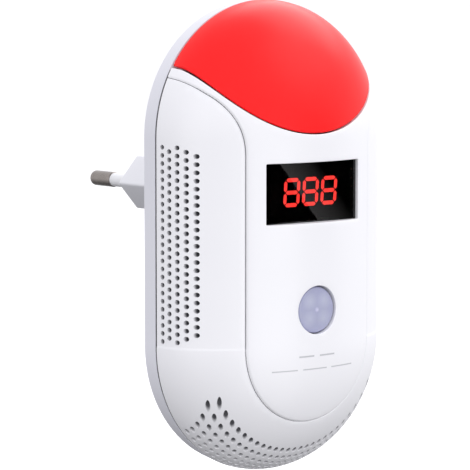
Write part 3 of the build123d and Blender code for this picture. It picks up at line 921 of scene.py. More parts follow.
def openingRows(loopAt, rim, steps, skin):
    # rounding from the skin into a wall that runs straight back
    rows = []
    for angle in np.linspace(0, pi / 2, steps)[1:]:
        front = loopAt(rim * (1 - sin(angle)))
        y = skin(unrolled(front))[:, 1] + rim * (1 - cos(angle))
        rows.append(atDepth(front, y))
    return rows


def rimRows(body, border, places, rim, skin, inner, steps=5):
    # rounding from the skin over its border towards the inner skin
    loop = places[border]
    around = np.roll(loop, -1, axis=0) - np.roll(loop, 1, axis=0)
    around /= np.hypot(*around.T)[:, None]
    outward = np.column_stack([around[:, 1], -around[:, 0]])
    if crossingTest(loop[:1] + outward[:1] * 0.05, loop)[0]:
        outward = -outward
    top = skin(loop)
    wall = inner(loop) - top
    wall /= np.linalg.norm(wall, axis=1)[:, None]
    rows = []
    for angle in np.linspace(0, pi / 2, steps)[1:]:
        moved = skin(loop + rim * sin(angle) * outward)
        rows.append(body.add(moved + rim * (1 - cos(angle)) * wall))
    return rows


def buildCover():
    body = Body()
    rim = cover["rim"]
    small = cover["openingRim"]
    border = coverOutline(rim)
    buttonHole = button["radius"] + cover["buttonGap"]

    def buttonLoop(grow):
        return circleLoop(0, buttonZ, buttonHole + grow)

    openings = [displayLoop(small), buttonLoop(small)]
    inside = insideCover(seamReach(rim), lensEdge["radius"] + rim, openings)
    half = (fullArc + 1, fullArc + spine + 1)
    loops = [border] + [unrolled(loop) for loop in openings]
    places, faces, kept = triangulated(loops, stepLines(), shell["spacing"], inside, half, shell["seed"])
    outer = used(places, faces, body, coverSkin)
    edgeLoop = max(borderLoops(faces), key=len)
    rows = rimRows(body, edgeLoop, places, rim, coverSkin, innerDome)
    chain = [[outer[index] for index in edgeLoop]] + rows

    frameHalf = cover["frameMargin"] + cover["frameWidth"]
    collar = buttonHole + cover["buttonFrame"] - cover["buttonGap"]
    innerOpenings = [displayLoop(frameHalf), circleLoop(0, buttonZ, collar)]
    innerInside = insideCover(seamReach(rim), lensEdge["radius"] + rim, innerOpenings)
    innerLoops = [places[edgeLoop]] + [unrolled(loop) for loop in innerOpenings]
    innerPlaces, innerFaces, innerKept = triangulated(
        innerLoops, [], shell["innerSpacing"], innerInside, half, shell["seed"]
    )
    inner = used(innerPlaces, innerFaces, body, innerDome)
    chain.append([inner[index] for index in innerKept[0]])
    for first, second in zip(chain, chain[1:]):
        body.strip(first, second)

    windowFace = windowLow.y - cover["windowGap"]
    margin = cover["frameMargin"]
    displayRows = openingRows(displayLoop, small, 5, coverSkin)
    displayRows += [atDepth(displayLoop(0), windowFace), atDepth(displayLoop(margin), windowFace)]
    displayRows += [atDepth(displayLoop(margin), cover["frameBack"])]
    displayRows += [atDepth(displayLoop(frameHalf), cover["frameBack"])]
    first, last = body.band(displayRows)
    body.strip([outer[index] for index in kept[1]], first)
    body.strip(last, [inner[index] for index in innerKept[1]])

    buttonRows = openingRows(buttonLoop, small, 5, coverSkin)
    back = cover["buttonFrameBack"]
    buttonRows += [atDepth(buttonLoop(0), back), atDepth(circleLoop(0, buttonZ, collar), back)]
    first, last = body.band(buttonRows)
    body.strip([outer[index] for index in kept[2]], first)
    body.strip(last, [inner[index] for index in innerKept[2]])
    return addPiece("frontCover", body.points, body.faces, "white_shell", 38)


# ---- vents, drilled by geometry nodes

drilling = {"length": 45 * mm, "start": 26 * mm, "sides": 18, "into": 0.9 * mm}
vents = {
    "Hole Radius": 0.62 * mm,
    "Hole Pitch": 2.0 * mm,
    "Row Pitch": 2.06 * mm,
    "First Row": -8.4 * mm,
}
ventCounts = {"side": (25, 24, 25, 24, 23), "bottom": (27, 27, 27, 27, 27, 25)}


def newTree(name, inputs):
    # a geometry tree with its geometry sockets, named lengths and a material input
    tree = bpy.data.node_groups.new(name, "GeometryNodeTree")
    face = tree.interface
    face.new_socket("Geometry", in_out="INPUT", socket_type="NodeSocketGeometry")
    face.new_socket("Geometry", in_out="OUTPUT", socket_type="NodeSocketGeometry")
    for key, value in inputs.items():
        kind = "NodeSocketInt" if isinstance(value, int) else "NodeSocketFloat"
        face.new_socket(key, in_out="INPUT", socket_type=kind)
    face.new_socket("Material", in_out="INPUT", socket_type="NodeSocketMaterial")
    entry = tree.nodes.new("NodeGroupInput")
    wires = {socket.name: Wire(tree, socket) for socket in entry.outputs if socket.name}
    return tree, wires


def endTree(tree, wires, result):
    solid = result.make("GeometryNodeRealizeInstances", None, {0: result})
    coated = solid.make("GeometryNodeSetMaterial", None, {0: solid, "Material": wires["Material"]})
    leave = tree.nodes.new("NodeGroupOutput")
    tree.links.new(coated.socket, leave.inputs[0])


def grown(piece, tree, inputs, material):
    # runs the tree on the piece and keeps the result as its plain mesh
    modifier = piece.modifiers.new(tree.name, "NODES")
    modifier.node_group = tree
    values = {**inputs, "Material": material}
    for item in tree.interface.items_tree:
        if item.in_out == "INPUT" and item.name in values:
            modifier[item.identifier] = values[item.name]
    bpy.context.view_layer.update()
    graph = bpy.context.evaluated_depsgraph_get()
    mesh = bpy.data.meshes.new_from_object(piece.evaluated_get(graph))
    piece.modifiers.remove(modifier)
    old = piece.data
    piece.data = mesh
    bpy.data.meshes.remove(old)
    mesh.name = piece.name
    return piece


def combine(start, x=0.0, y=0.0, z=0.0):
    return start.make("ShaderNodeCombineXYZ", None, {0: x, 1: y, 2: z})


def ventTree():
    # lines of drill rods, along X through both sides and along Z through the bottom
    tree, wires = newTree("drilledVents", vents)
    start = wires["Geometry"]
    radius, pitch = wires["Hole Radius"], wires["Hole Pitch"]
    drills = []
    length = drilling["length"]
    rod = start.make(
        "GeometryNodeMeshCylinder", {"fill_type": "NGON"},
        {"Vertices": drilling["sides"], "Radius": radius, "Depth": length},
    )
    for row, count in enumerate(ventCounts["side"]):
        y = wires["First Row"] - wires["Row Pitch"] * row
        line = start.make(
            "GeometryNodeMeshLine", None,
            {"Count": count, "Start Location": combine(start, 0.0, y, pitch * (-(count - 1) / 2)),
             "Offset": combine(start, 0.0, 0.0, pitch)},
        )
        for side in (-1, 1):
            apart = start.make(
                "GeometryNodeSetPosition", None,
                {"Geometry": line, "Offset": (side * (drilling["start"] + length / 2), 0, 0)},
            )
            drills.append(
                start.make(
                    "GeometryNodeInstanceOnPoints", None,
                    {"Points": apart, "Instance": rod, "Rotation": (0, pi / 2, 0)},
                )
            )
    innerSide = (endRadius - shell["wall"]) * mm
    innerDepth = (domeDepth - shell["wall"]) * mm
    for row, count in enumerate(ventCounts["bottom"]):
        y = wires["First Row"] - wires["Row Pitch"] * row
        line = start.make(
            "GeometryNodeMeshLine", None,
            {"Count": count, "Start Location": combine(start, pitch * (-(count - 1) / 2), y, 0.0),
             "Offset": combine(start, pitch, 0.0, 0.0)},
        )
        x = start.make("GeometryNodeInputPosition")
        x = x.make("ShaderNodeSeparateXYZ", None, {0: x})
        depth = (shell["seam"] * mm - y) / innerDepth
        reach = innerSide * innerSide * (1 - depth * depth)
        top = -spine * mm + drilling["into"] - (reach - x * x) ** 0.5
        lowered = start.make(
            "GeometryNodeSetPosition", None,
            {"Geometry": line, "Offset": combine(start, 0.0, 0.0, top - length / 2)},
        )
        drills.append(
            start.make("GeometryNodeInstanceOnPoints", None, {"Points": lowered, "Instance": rod})
        )
    joined = tree.nodes.new("GeometryNodeJoinGeometry")
    for drill in drills:
        tree.links.new(drill.socket, joined.inputs[0])
    rods = start.make("GeometryNodeRealizeInstances", None, {0: Wire(tree, joined.outputs[0])})
    # the rods' material stays on the walls that they cut
    rods = start.make("GeometryNodeSetMaterial", None, {0: rods, "Material": wires["Material"]})
    cut = start.make(
        "GeometryNodeMeshBoolean", {"operation": "DIFFERENCE", "solver": "MANIFOLD"},
        {"Mesh 1": start, "Mesh 2": rods},
    )
    leave = tree.nodes.new("NodeGroupOutput")
    tree.links.new(cut.socket, leave.inputs[0])
    return tree


def rolledBack(points):
    # points near the dome to unrolled places
    foot = np.clip(points[:, 2], -spine, spine)
    away = np.column_stack([points[:, 0], points[:, 2] - foot])
    reach = np.hypot(*away.T)
    angle = np.arctan2(reach / endRadius, (shell["seam"] - points[:, 1]) / domeDepth)
    length = np.interp(angle, arcAngle, arcLength)
    return away * (length / np.maximum(reach, 1e-9))[:, None] + np.column_stack([0 * foot, foot])


def trueNormals(piece, skin, tolerance=0.012):
    # corners that lie on the outer skin take the dome's own normal, so drilling leaves no dents
    mesh = piece.data
    count = len(mesh.vertices)
    points = np.zeros(count * 3)
    mesh.vertices.foreach_get("co", points)
    points = points.reshape(-1, 3) / mm
    places = rolledBack(points)
    step = 0.03
    here = skin(places)
    across = skin(places + (step, 0)) - skin(places - (step, 0))
    up = skin(places + (0, step)) - skin(places - (0, step))
    normals = np.cross(across, up)
    normals /= np.maximum(np.linalg.norm(normals, axis=1), 1e-9)[:, None]
    normals *= np.where(normals[:, 1] > 0, -1, 1)[:, None]
    near = np.linalg.norm(here - points, axis=1) < tolerance
    corners = len(mesh.loops)
    vertexOf = np.zeros(corners, int)
    mesh.loops.foreach_get("vertex_index", vertexOf)
    faceNormals = np.zeros(len(mesh.polygons) * 3)
    mesh.polygons.foreach_get("normal", faceNormals)
    faceNormals = faceNormals.reshape(-1, 3)
    totals = np.zeros(len(mesh.polygons), int)
    mesh.polygons.foreach_get("loop_total", totals)
    faceOf = np.repeat(np.arange(len(mesh.polygons)), totals)
    facing = (normals[vertexOf] * faceNormals[faceOf]).sum(axis=1) > 0.8
    chosen = near[vertexOf] & facing
    wanted = np.where(chosen[:, None], normals[vertexOf], 0.0)
    mesh.normals_split_custom_set([tuple(normal) for normal in wanted])
    print(piece.name, "corners on the skin", int(chosen.sum()), "of", corners)


def shadeRecesses(piece, test):
    # faces whose middles pass the test take the dark recess material: painted shade in the groove and the
    # seam
    mesh = piece.data
    mesh.materials.append(recessPaintedShade)
    middles = np.zeros(len(mesh.polygons) * 3)
    mesh.polygons.foreach_get("center", middles)
    mesh.polygons.foreach_set("material_index", test(middles.reshape(-1, 3) / mm).astype(int))


def inSeam(points):
    # faces between the two covers, behind their rounded rims
    foot = np.clip(points[:, 2], -spine, spine)
    reach = np.hypot(points[:, 0], points[:, 2] - foot)
    behindRims = (abs(points[:, 1] - shell["seam"]) < 0.3) & (reach < endRadius - 0.18)
    return behindRims & (points[:, 2] < lensEdge["z"] - 18)


def inCoverRecess(points):
    places = rolledBack(points)
    inGroove = abs(intoPanel(places) - cover["groovePlace"]) < cover["grooveFloor"]
    depth = np.linalg.norm(coverSkin(places) - points, axis=1)
    return (inGroove & (depth < 0.3)) | inSeam(points)


frontCover = buildCover()
shadeRecesses(frontCover, inCoverRecess)
grown(frontCover, ventTree(), vents, ventShadePlastic)
frontCover.data.shade_smooth()
frontCover.data.set_sharp_from_angle(angle=radians(38))
trueNormals(frontCover, coverSkin)
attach(frontCover, "housing")
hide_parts("front_cover")
print("front cover drilled", len(frontCover.data.polygons))

# ---- alarm lens

lens = {"rim": 0.45, "spacing": 1.1, "seed": (0, spine + 15)}


def buildLens():
    body = Body()
    rim = lens["rim"]
    radius = lensEdge["radius"] - lensEdge["gap"] - rim
    edge = seamReach(rim)
    lower = unrolled(lensArc(radius, rim))
    startAngle = np.degrees(atan2(lower[0][1] - spine, lower[0][0]))
    upper = arcPoints((0, spine), edge, 180 - startAngle, startAngle, 1.0)
    border = np.vstack([lower, upper[1:-1]])

    def inside(places):
        front = frontView(places)
        reach = np.hypot(places[:, 0], places[:, 1] - spine)
        kept = np.hypot(front[:, 0], front[:, 1] - lensEdge["z"]) < radius + 1e-3
        return kept & (reach < edge + 1e-4) & (places[:, 1] > spine - 5)

    half = (fullArc + 1, fullArc + spine + 1)
    places, faces, kept = triangulated([border], [], lens["spacing"], inside, half, lens["seed"])
    outer = used(places, faces, body, onDome)
    edgeLoop = max(borderLoops(faces), key=len)
    rows = rimRows(body, edgeLoop, places, rim, onDome, innerDome, 7)
    innerIndex = used(places, faces[:, ::-1], body, innerDome)
    chain = [[outer[index] for index in edgeLoop]] + rows
    chain.append([innerIndex[index] for index in edgeLoop])
    for first, second in zip(chain, chain[1:]):
        body.strip(first, second)
    return addPiece("alarmLens", body.points, body.faces, "red_lens", 50)


alarmLens = buildLens()
trueNormals(alarmLens, onDome)
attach(alarmLens, "housing")
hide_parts("alarm_lens")

# ---- rear cover

rear = {
    "draft": 0.7,
    "edge": 0.8,
    "floor": 2.2,
    "rimRound": 0.25,
    "tongue": (31.6, 30.4),
    "tongueFront": -7.5,
    "wellRadius": 3.1,
    "wellDepth": 4.5,
    "bossRadius": 4.2,
    "bossFront": -8.2,
    "bossPlace": (24.5, 29.5),
    "labelHalf": (18.0, 13.0),
    "labelZ": -27.0,
    "labelDepth": 0.25,
    "cornerRound": 0.25,
    "backSpacing": 3.0,
    "frontSpacing": 3.5,
}
plug = {
    "z": 11.5,
    "half": 15.5,
    "flat": 9.5,
    "high": 6.85,
    "corner": 0.7,
    "edge": 0.5,
    "gap": 0.15,
    "seatRound": 0.2,
    "seatDepth": 3.0,
    "spacing": 1.6,
}


def stadiumRow(radius, y, step=1.0):
    # a housing-shaped loop; the count doesn't depend on the radius
    arcs = np.linspace(0, pi, 108)
    sides = np.linspace(-spine, spine, int(2 * spine / step) + 1)[1:-1]
    right = [(radius, z) for z in sides]
    top = [(radius * cos(a), spine + radius * sin(a)) for a in arcs]
    left = [(-radius, z) for z in sides[::-1]]
    bottom = [(-radius * cos(a), -spine - radius * sin(a)) for a in arcs]
    return atDepth(np.array(right + top + left + bottom), y)


def hexagonLoop(grow, steps=5):
    # the plug body's outline with rounded corners
    wide, flat, high = plug["half"] + 1.2 * grow, plug["flat"] + 0.4 * grow, plug["high"] + grow
    points = np.array([(wide, 0), (flat, high), (-flat, high), (-wide, 0), (-flat, -high), (flat, -high)])
    made = []
    for here in range(6):
        point = points[here]
        before = points[here - 1] - point
        after = points[(here + 1) % 6] - point
        before /= hypot(*before)
        after /= hypot(*after)
        halfTurn = (pi - np.arccos(np.clip(before @ after, -1, 1))) / 2
        back = plug["corner"] * np.tan(halfTurn)
        start, end = point + before * back, point + after * back
        for share in np.linspace(0, 1, steps):
            # quadratic curve through the corner, close to its arc
            made.append((1 - share) ** 2 * start + 2 * share * (1 - share) * point + share**2 * end)
    return np.array(made) + (0, plug["z"])


def flatPatch(body, loops, y, spacing, outline, holes, seed):
    # a flat face at Y with holes; returns the body's indices of each loop
    def inside(places):
        kept = crossingTest(places, outline)
        for hole in holes:
            kept &= ~crossingTest(places, hole)
        return kept

    half = (endRadius, endRadius + spine)
    places, faces, kept = triangulated(loops, [], spacing, inside, half, seed)
    index = used(places, faces, body, lambda flat: atDepth(flat, y))
    return [[index[item] for item in loop] for loop in kept]


def buildRear():
    body = Body()
    rimY = shell["seam"] + shell["seamGap"] / 2
    backRadius = endRadius - rear["draft"]
    tongueOut, tongueIn = rear["tongue"]
    edge, roundness = rear["edge"], rear["rimRound"]
    profile = [(tongueIn, -rear["floor"]), (tongueIn, rear["tongueFront"])]
    profile += [(tongueOut, rear["tongueFront"]), (tongueOut, rimY)]
    for angle in np.linspace(0, pi / 2, 5):
        profile.append((endRadius - roundness * (1 - sin(angle)), rimY + roundness * (1 - cos(angle))))
    for angle in np.linspace(0, pi / 2, 8):
        profile.append((backRadius - edge * (1 - cos(angle)), -edge * (1 - sin(angle))))
    rows = [stadiumRow(radius, y) for radius, y in profile]
    innerEdge, backEdge = body.band(rows)

    wells = [(sx * rear["bossPlace"][0], sz * rear["bossPlace"][1]) for sx in (-1, 1) for sz in (-1, 1)]
    edgeWidth = rear["cornerRound"]
    wellLoops = [circleLoop(x, z, rear["wellRadius"] + edgeWidth, 48) for x, z in wells]
    hexagon = hexagonLoop(plug["gap"] + edgeWidth)
    labelHalf = rear["labelHalf"]
    label = roundedRectangle(*labelHalf, 1.0, rear["labelZ"], (18, 13), 6)
    outline = rows[-1][:, [0, 2]]
    holes = [*wellLoops, hexagon, label]
    seed = (0, spine)
    loops = flatPatch(body, [outline, *holes], 0.0, rear["backSpacing"], outline, holes, seed)
    body.strip(backEdge, loops[0])
    innerHoles = [circleLoop(x, z, rear["bossRadius"], 48) for x, z in wells] + [hexagonLoop(plug["gap"])]
    innerOutline = rows[0][:, [0, 2]]
    innerY = -rear["floor"]
    innerLoops = flatPatch(
        body, [innerOutline, *innerHoles], innerY, rear["frontSpacing"], innerOutline, innerHoles, seed
    )
    body.strip(innerEdge, innerLoops[0])
    for (x, z), backLoop, innerLoop in zip(wells, loops[1:5], innerLoops[1:5]):
        rounding = []
        for angle in np.linspace(0, pi / 2, 4)[1:]:
            radius = rear["wellRadius"] + edgeWidth * (1 - sin(angle))
            rounding.append(atDepth(circleLoop(x, z, radius, 48), -edgeWidth * (1 - cos(angle))))
        rounding.append(atDepth(circleLoop(x, z, rear["wellRadius"], 48), -rear["wellDepth"]))
        first, last = body.band(rounding)
        body.strip(backLoop, first)
        body.cap(last)
        bossTop = body.add(atDepth(circleLoop(x, z, rear["bossRadius"], 48), rear["bossFront"]))
        body.strip(innerLoop, bossTop)
        body.cap(bossTop)
    plugRows = []
    for angle in np.linspace(0, pi / 2, 4)[1:]:
        grow = plug["gap"] + edgeWidth * (1 - sin(angle))
        plugRows.append(atDepth(hexagonLoop(grow), -edgeWidth * (1 - cos(angle))))
    first, last = body.band(plugRows)
    body.strip(loops[5], first)
    body.strip(last, innerLoops[5])
    recess = body.add(atDepth(label, -rear["labelDepth"]))
    body.strip(loops[6], recess)
    body.cap(recess)
    return addPiece("rearCover", body.points, body.faces, "rear_shell", 34)


rearCover = buildRear()
shadeRecesses(rearCover, inSeam)
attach(rearCover, "housing")
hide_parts("rear_cover")

# ---- plug body, pins and sleeves

plugHigh = corners("plug_block")[1]
pinLow, pinHigh = corners("plug_pin_left")
sleeveLow, sleeveHigh = corners("pin_sleeve_left")
pins = {
    "halfSpacing": -(pinLow.x + pinHigh.x) / 2,
    "radius": (pinHigh.x - pinLow.x) / 2,
    "tip": 1.3,
    "collar": sleeveHigh.y,
    "neck": 1.45,
    "sleeveRadius": (sleeveHigh.x - sleeveLow.x) / 2,
    "seatGap": 0.12,
    "shoulder": 0.15,
    "sleeveRound": 0.3,
    "clearance": 0.02,
}


def buildPlug():
    body = Body()
    face = plugHigh.y
    edge = plug["edge"]
    rows = [atDepth(hexagonLoop(0), y) for y in np.linspace(-rear["floor"], face - edge, 8)]
    for angle in np.linspace(0, pi / 2, 6)[1:]:
        rows.append(atDepth(hexagonLoop(-edge * (1 - cos(angle))), face - edge * (1 - sin(angle))))
    first, last = body.band(rows)
    body.cap(first)
    outline = rows[-1][:, [0, 2]]
    seat = pins["sleeveRadius"] + pins["seatGap"]
    small = plug["seatRound"]
    centres = [(side * pins["halfSpacing"], plug["z"]) for side in (-1, 1)]
    holes = [circleLoop(x, z, seat + small, 40) for x, z in centres]
    loops = flatPatch(body, [outline, *holes], face, plug["spacing"], outline, holes, (0, plug["z"]))
    body.strip(last, loops[0])
    for (x, z), loop in zip(centres, loops[1:]):
        rowsIn = []
        for angle in np.linspace(0, pi / 2, 4)[1:]:
            radius = seat + small * (1 - sin(angle))
            rowsIn.append(atDepth(circleLoop(x, z, radius, 40), face - small * (1 - cos(angle))))
        rowsIn.append(atDepth(circleLoop(x, z, seat, 40), face - plug["seatDepth"]))
        first, last = body.band(rowsIn)
        body.strip(loop, first)
        body.cap(last)
    return addPiece("plugBlock", body.points, body.faces, "plug_white", 28)


def turned(name, x, z, profile, slot, count=64, smooth=40):
    # a lathe-turned form about an axis along Y; profile rows are (radius, y), from end to end
    body = Body()
    rows = [atDepth(circleLoop(x, z, radius, count), y) for radius, y in profile]
    first, last = body.band(rows)
    body.fan(first, (x, profile[0][1], z))
    body.fan(last, (x, profile[-1][1], z))
    return addPiece(name, body.points, body.faces, slot, smooth)


plugBlock = buildPlug()
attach(plugBlock, "housing")
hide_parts("plug_block")

for side, word in ((-1, "left"), (1, "right")):
    x = side * pins["halfSpacing"]
    tipY, collarY, tip, radius = pinHigh.y, pins["collar"], pins["tip"], pins["radius"]
    shoulder, clear = pins["shoulder"], pins["clearance"]
    profile = [(pins["neck"], pinLow.y), (pins["neck"], collarY - 0.1), (radius - shoulder, collarY - clear)]
    profile += [(radius, collarY - clear + shoulder), (radius, tipY - tip)]
    for angle in np.linspace(0, pi / 2, 12)[1:]:
        profile.append((radius - tip * (1 - cos(angle)), tipY - tip * (1 - sin(angle))))
    pin = turned(f"plugPin{word.title()}", x, plug["z"], profile, "pin_nickel")
    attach(pin, "housing")
    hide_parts(f"plug_pin_{word}")
    reach, small = pins["sleeveRadius"], pins["sleeveRound"]
    ends = [(pins["neck"] + clear, sleeveLow.y), (reach, sleeveLow.y + 0.1)]
    ends.append((reach, collarY - clear - small))
    for angle in np.linspace(0, pi / 2, 6)[1:]:
        ends.append((reach - small * (1 - cos(angle)), collarY - clear - small * (1 - sin(angle))))
    sleeve = turned(f"pinSleeve{word.title()}", x, plug["z"], ends, "sleeve_white")
    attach(sleeve, "housing")
    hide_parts(f"pin_sleeve_{word}")
print("plug done")

# ---- display window

window = {"edge": 0.12, "corner": 0.6, "spans": (10, 5)}


def buildWindow():
    halfX = (windowHigh.x - windowLow.x) / 2
    halfZ = (windowHigh.z - windowLow.z) / 2
    middle = (windowHigh.z + windowLow.z) / 2
    edge = window["edge"]
    body = Body()
    rows = []
    back, front = windowHigh.y, windowLow.y
    for inset, y in ((edge, back), (0, back - edge), (0, front + edge), (edge, front)):
        size = (halfX - inset, halfZ - inset, window["corner"] - inset)
        rows.append(atDepth(roundedRectangle(*size, middle, window["spans"], 6), y))
    first, last = body.band(rows)
    body.cap(first)
    body.cap(last)
    return addPiece("displayWindow", body.points, body.faces, "window_glass", 30)


displayWindow = buildWindow()
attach(displayWindow, "housing")
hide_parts("display_window")

# ---- test button


def buildButton():
    body = Body()
    front = buttonLow.y - button["forward"]
    radius = button["radius"]
    edge = button["edge"]
    turns = button["turns"]
    flange = radius + button["flange"]
    backY = buttonLow.y + button["back"]
    flangeY = backY - button["flangeThick"]
    hollowY = front + button["hollow"]
    within = radius - button["skirt"]

    def face(reach):
        # points of one ring of the crowned face, raised at the four pads and the dot
        loop = circleLoop(0, buttonZ, reach, turns)
        angles = np.linspace(0, 2 * pi, turns, endpoint=False)
        lobe = button["padRing"] / sqrt(2)
        across, up = np.abs(reach * np.cos(angles)), np.abs(reach * np.sin(angles))
        pad = smoothStep(1 - np.hypot(across - lobe, up - lobe) / button["padRadius"])
        dot = smoothStep(1 - reach / button["dotRadius"])
        sag = button["crown"] * (reach / radius) ** 2
        y = front + button["padRise"] + sag - button["padRise"] * pad - button["dotRise"] * dot * 0.8
        return atDepth(loop, y)

    profile = ((within, hollowY), (within, backY), (flange, backY), (flange, flangeY), (radius, flangeY))
    rows = [atDepth(circleLoop(0, buttonZ, reach, turns), y) for reach, y in profile]
    edgeY = front + button["padRise"] + button["crown"]
    for angle in np.linspace(0, pi / 2, 8):
        reach = radius - edge * (1 - cos(angle))
        rows.append(atDepth(circleLoop(0, buttonZ, reach, turns), edgeY + edge * (1 - sin(angle)) - 0.05))
    for reach in np.linspace(radius - edge, 0.12, button["rings"])[1:]:
        rows.append(face(reach))
    first, last = body.band(rows)
    body.fan(first, (0, hollowY, buttonZ))
    body.fan(last, (0, front + 0.02, buttonZ))
    return addPiece("testButton", body.points, body.faces, "button_tint", 50)


testButton = buildButton()
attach(testButton, "button")
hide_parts("test_button")

# ---- button spring, a wound wire; it shortens as the button goes in, but here it is built at one length

springLow, springHigh = corners("button_spring")
spring = {"wire": 0.25, "turns": 4, "steps": 48, "round": 12, "shortens": 1.05}


def buildSpring():
    body = Body()
    wire = spring["wire"]
    reach = (springHigh.x - springLow.x) / 2 - wire
    count = spring["turns"] * spring["steps"]
    angles = np.linspace(0, 2 * pi * spring["turns"], count + 1)
    heights = np.linspace(springLow.y + wire, springHigh.y - wire, count + 1)
    turnRound = np.linspace(0, 2 * pi, spring["round"], endpoint=False)
    rows = []
    for angle, height in zip(angles, heights):
        away = reach + wire * np.cos(turnRound)
        rows.append(
            np.column_stack(
                [away * cos(angle), height + wire * np.sin(turnRound), buttonZ + away * sin(angle)]
            )
        )
    first, last = body.band(rows)
    body.cap(first)
    body.cap(last)
    return addPiece("buttonSpring", body.points, body.faces, "spring_steel", 40)


buttonSpring = buildSpring()
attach(buttonSpring, "housing")
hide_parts("button_spring")
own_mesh(buttonSpring)

# ---- housing screws, one turned form set into each well by geometry nodes

screw = {
    "head": 2.8,
    "height": 1.8,
    "headRound": (1.0, 0.8),
    "cross": (1.5, 0.42),
    "crossDepth": 0.95,
    "shank": 1.45,
    "length": 10.0,
    "threads": 16,
    "threadPitch": 0.56,
    "threadRoot": 0.78,
}
screws = {
    "Across": 2 * rear["bossPlace"][0] * mm,
    "Up": 2 * rear["bossPlace"][1] * mm,
    "Seat": -rear["wellDepth"] * mm,
}


def buildScrew():
    # a pan head with a cross recess, its seat at Y 0, on a threaded shank
    body = Body()
    head, height, shank, pitch = screw["head"], screw["height"], screw["shank"], screw["threadPitch"]
    roundIn, roundDown = screw["headRound"]
    count = 48
    cross = circleLoop(0, 0, 1.0, count)
    arm, width = screw["cross"]
    spread = np.abs(cross).max(axis=1)
    narrow = np.abs(cross).min(axis=1)
    reachOut = np.minimum(arm / spread, width / np.maximum(narrow, 1e-3))
    rows = [atDepth(cross * (reachOut * 0.72)[:, None], height - screw["crossDepth"])]
    rows += [atDepth(cross * reachOut[:, None], height - 0.02)]
    for angle in np.linspace(pi / 2, 0, 8):
        reach = head - roundIn * (1 - cos(angle))
        rows.append(atDepth(circleLoop(0, 0, reach, count), height - roundDown * (1 - sin(angle))))
    rows.append(atDepth(circleLoop(0, 0, head, count), 0.0))
    rows.append(atDepth(circleLoop(0, 0, shank, count), 0.0))
    for turn in range(screw["threads"]):
        y = -0.5 - turn * pitch
        rows.append(atDepth(circleLoop(0, 0, shank, count), y))
        rows.append(atDepth(circleLoop(0, 0, shank * screw["threadRoot"], count), y - pitch / 2))
    rows.append(atDepth(circleLoop(0, 0, shank * 0.3, count), -screw["length"]))
    first, last = body.band(rows)
    body.cap(first)
    body.cap(last)
    return addPiece("coverScrews", body.points, body.faces, "screw_steel", 40)


def screwTree():
    tree, wires = newTree("setScrews", screws)
    start = wires["Geometry"]
    grid = start.make(
        "GeometryNodeMeshGrid", None,
        {"Size X": wires["Across"], "Size Y": wires["Up"], "Vertices X": 2, "Vertices Y": 2},
    )
    upright = start.make(
        "GeometryNodeTransform", None,
        {"Geometry": grid, "Translation": combine(start, 0.0, wires["Seat"], 0.0),
         "Rotation": (pi / 2, 0, 0)},
    )
    placed = start.make("GeometryNodeInstanceOnPoints", None, {"Points": upright, "Instance": start})
    endTree(tree, wires, placed)
    return tree


coverScrews = buildScrew()
grown(coverScrews, screwTree(), screws, materials["screw_steel"])
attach(coverScrews, "housing")
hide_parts("cover_screws")
print("screws set")

# ---- room, light and camera

room = {
    "floorZ": -0.115,
    "floorSize": 14.0,
    "sky": 1.09,
    "bench": 0.03,
    "horizonFrom": 0.16,
    "horizonTo": 0.46,
}


def buildFloor():
    half = room["floorSize"] / 2
    points = [(-half, -half), (half, -half), (half, half), (-half, half)]
    mesh = bpy.data.meshes.new("floor")
    mesh.from_pydata([(x, y, room["floorZ"]) for x, y in points], [], [(0, 1, 2, 3)])
    floor = bpy.data.objects.new("floor", mesh)
    bpy.context.scene.collection.objects.link(floor)
    made, shader, place = newMaterial("paleFloor")
    cloud = noise(place, 400.0, 1.0)
    setShader(shader, colour=mixColour(cloud, (0.93, 0.93, 0.93), (0.95, 0.95, 0.95)), roughness=0.9)
    mesh.materials.append(made)
    floor.visible_diffuse = False
    floor.visible_shadow = False
    floor.visible_glossy = False


def buildWorld():
    # brighter above than below, as between a white ceiling and a grey bench
    world = bpy.data.worlds.new("studio")
    bpy.context.scene.world = world
    world.use_nodes = True
    tree = world.node_tree
    start = Wire(tree)
    direction = start.make("ShaderNodeTexCoord", output=0)
    up = start.make("ShaderNodeSeparateXYZ", None, {0: direction}).other(2)
    low, high = [(value, value, value * 1.03, 1) for value in (room["bench"], room["sky"])]
    stops = ((0.0, low), (room["horizonFrom"], low), (room["horizonTo"], high), (1.0, high))
    ramp = start.make("ShaderNodeValToRGB", {"stops": stops}, {0: up * 0.5 + 0.5})
    tree.links.new(ramp.socket, tree.nodes["Background"].inputs["Color"])


# place, size and power of each soft box; all of them face the middle of the case
softBoxes = {
    "keyBox": ((0.75, -0.85, 0.95), (0.9, 0.9), 3.0),
    "sideBox": ((-1.1, -0.55, 0.1), (0.8, 0.8), 1.5),
    "hairBox": ((0.8, 0.25, 0.95), (1.3, 1.0), 9.0),
    "lowBox": ((0.15, -1.15, -0.45), (0.9, 0.9), 3.7),
}
middle = Vector((0, -0.01, 0))


def addLamp(name, place, size, power):
    lamp = bpy.data.lights.new(name, "AREA")
    lamp.shape = "RECTANGLE"
    lamp.size, lamp.size_y = size
    lamp.energy = power
    holder = bpy.data.objects.new(name, lamp)
    holder.location = place
    holder.rotation_mode = "QUATERNION"
    holder.rotation_quaternion = (middle - Vector(place)).to_track_quat("-Z", "Y")
    bpy.context.scene.collection.objects.link(holder)


windowCard = {
    "distance": 0.6,
    "half": 0.16,
    "edge": -4.4,
    "fade": 15.0,
    "lean": (0.829, 0.558),
    "glow": 0.62,
}


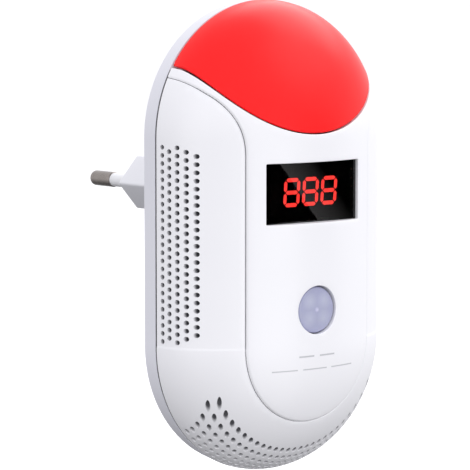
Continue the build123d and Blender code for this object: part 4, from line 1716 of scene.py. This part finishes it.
def addWindowCard(eye):
    # a dark card with one lit corner, seen only as the sheen across the display window
    heart = (windowLow + windowHigh) / 2 * mm
    toward = (heart - eye).normalized()
    toward.y = -toward.y
    side = toward.cross(Vector((0, 0, 1))).normalized()
    up = side.cross(toward)
    if side.x < 0:
        side = -side
    half = windowCard["half"]
    mesh = bpy.data.meshes.new("windowCard")
    square = [(-half, -half, 0), (half, -half, 0), (half, half, 0), (-half, half, 0)]
    mesh.from_pydata(square, [], [(0, 1, 2, 3)])
    card = bpy.data.objects.new("windowCard", mesh)
    bpy.context.scene.collection.objects.link(card)
    turn = Matrix((side, up, side.cross(up))).transposed().to_4x4()
    card.matrix_world = Matrix.Translation(heart + toward * windowCard["distance"]) @ turn
    made, shader, place = newMaterial("windowCard")
    leanAcross, leanUp = windowCard["lean"]
    parts = place.make("ShaderNodeSeparateXYZ", None, {0: place})
    along = parts * leanAcross + parts.other(1) * leanUp - windowCard["edge"]
    lit = (along > 0) * (1 - along / windowCard["fade"]).clamped() * windowCard["glow"]
    setShader(
        shader, colour=(0, 0, 0), specular=0.0, glowStrength=1.0,
        glow=mixColour(lit, (0, 0, 0), (1, 1, 1)),
    )
    mesh.materials.append(made)
    card.visible_camera = card.visible_diffuse = card.visible_shadow = False


cameraPlace = {"location": (-0.4504, -0.5580, 0.07185), "tilt": 84.249, "turn": -38.653, "lens": 216.0}


def addCamera():
    camera = bpy.data.cameras.new("camera")
    camera.sensor_width = 36.0
    camera.lens = cameraPlace["lens"]
    camera.clip_end = 60.0
    holder = bpy.data.objects.new("camera", camera)
    holder.location = cameraPlace["location"]
    holder.rotation_euler = (radians(cameraPlace["tilt"]), 0.0, radians(cameraPlace["turn"]))
    bpy.context.scene.collection.objects.link(holder)
    bpy.context.scene.camera = holder


buildFloor()
buildWorld()
for name, values in softBoxes.items():
    addLamp(name, *values)
addCamera()
addWindowCard(bpy.context.scene.camera.location)
bpy.context.scene.view_settings.view_transform = "Standard"
print("room and camera ready")
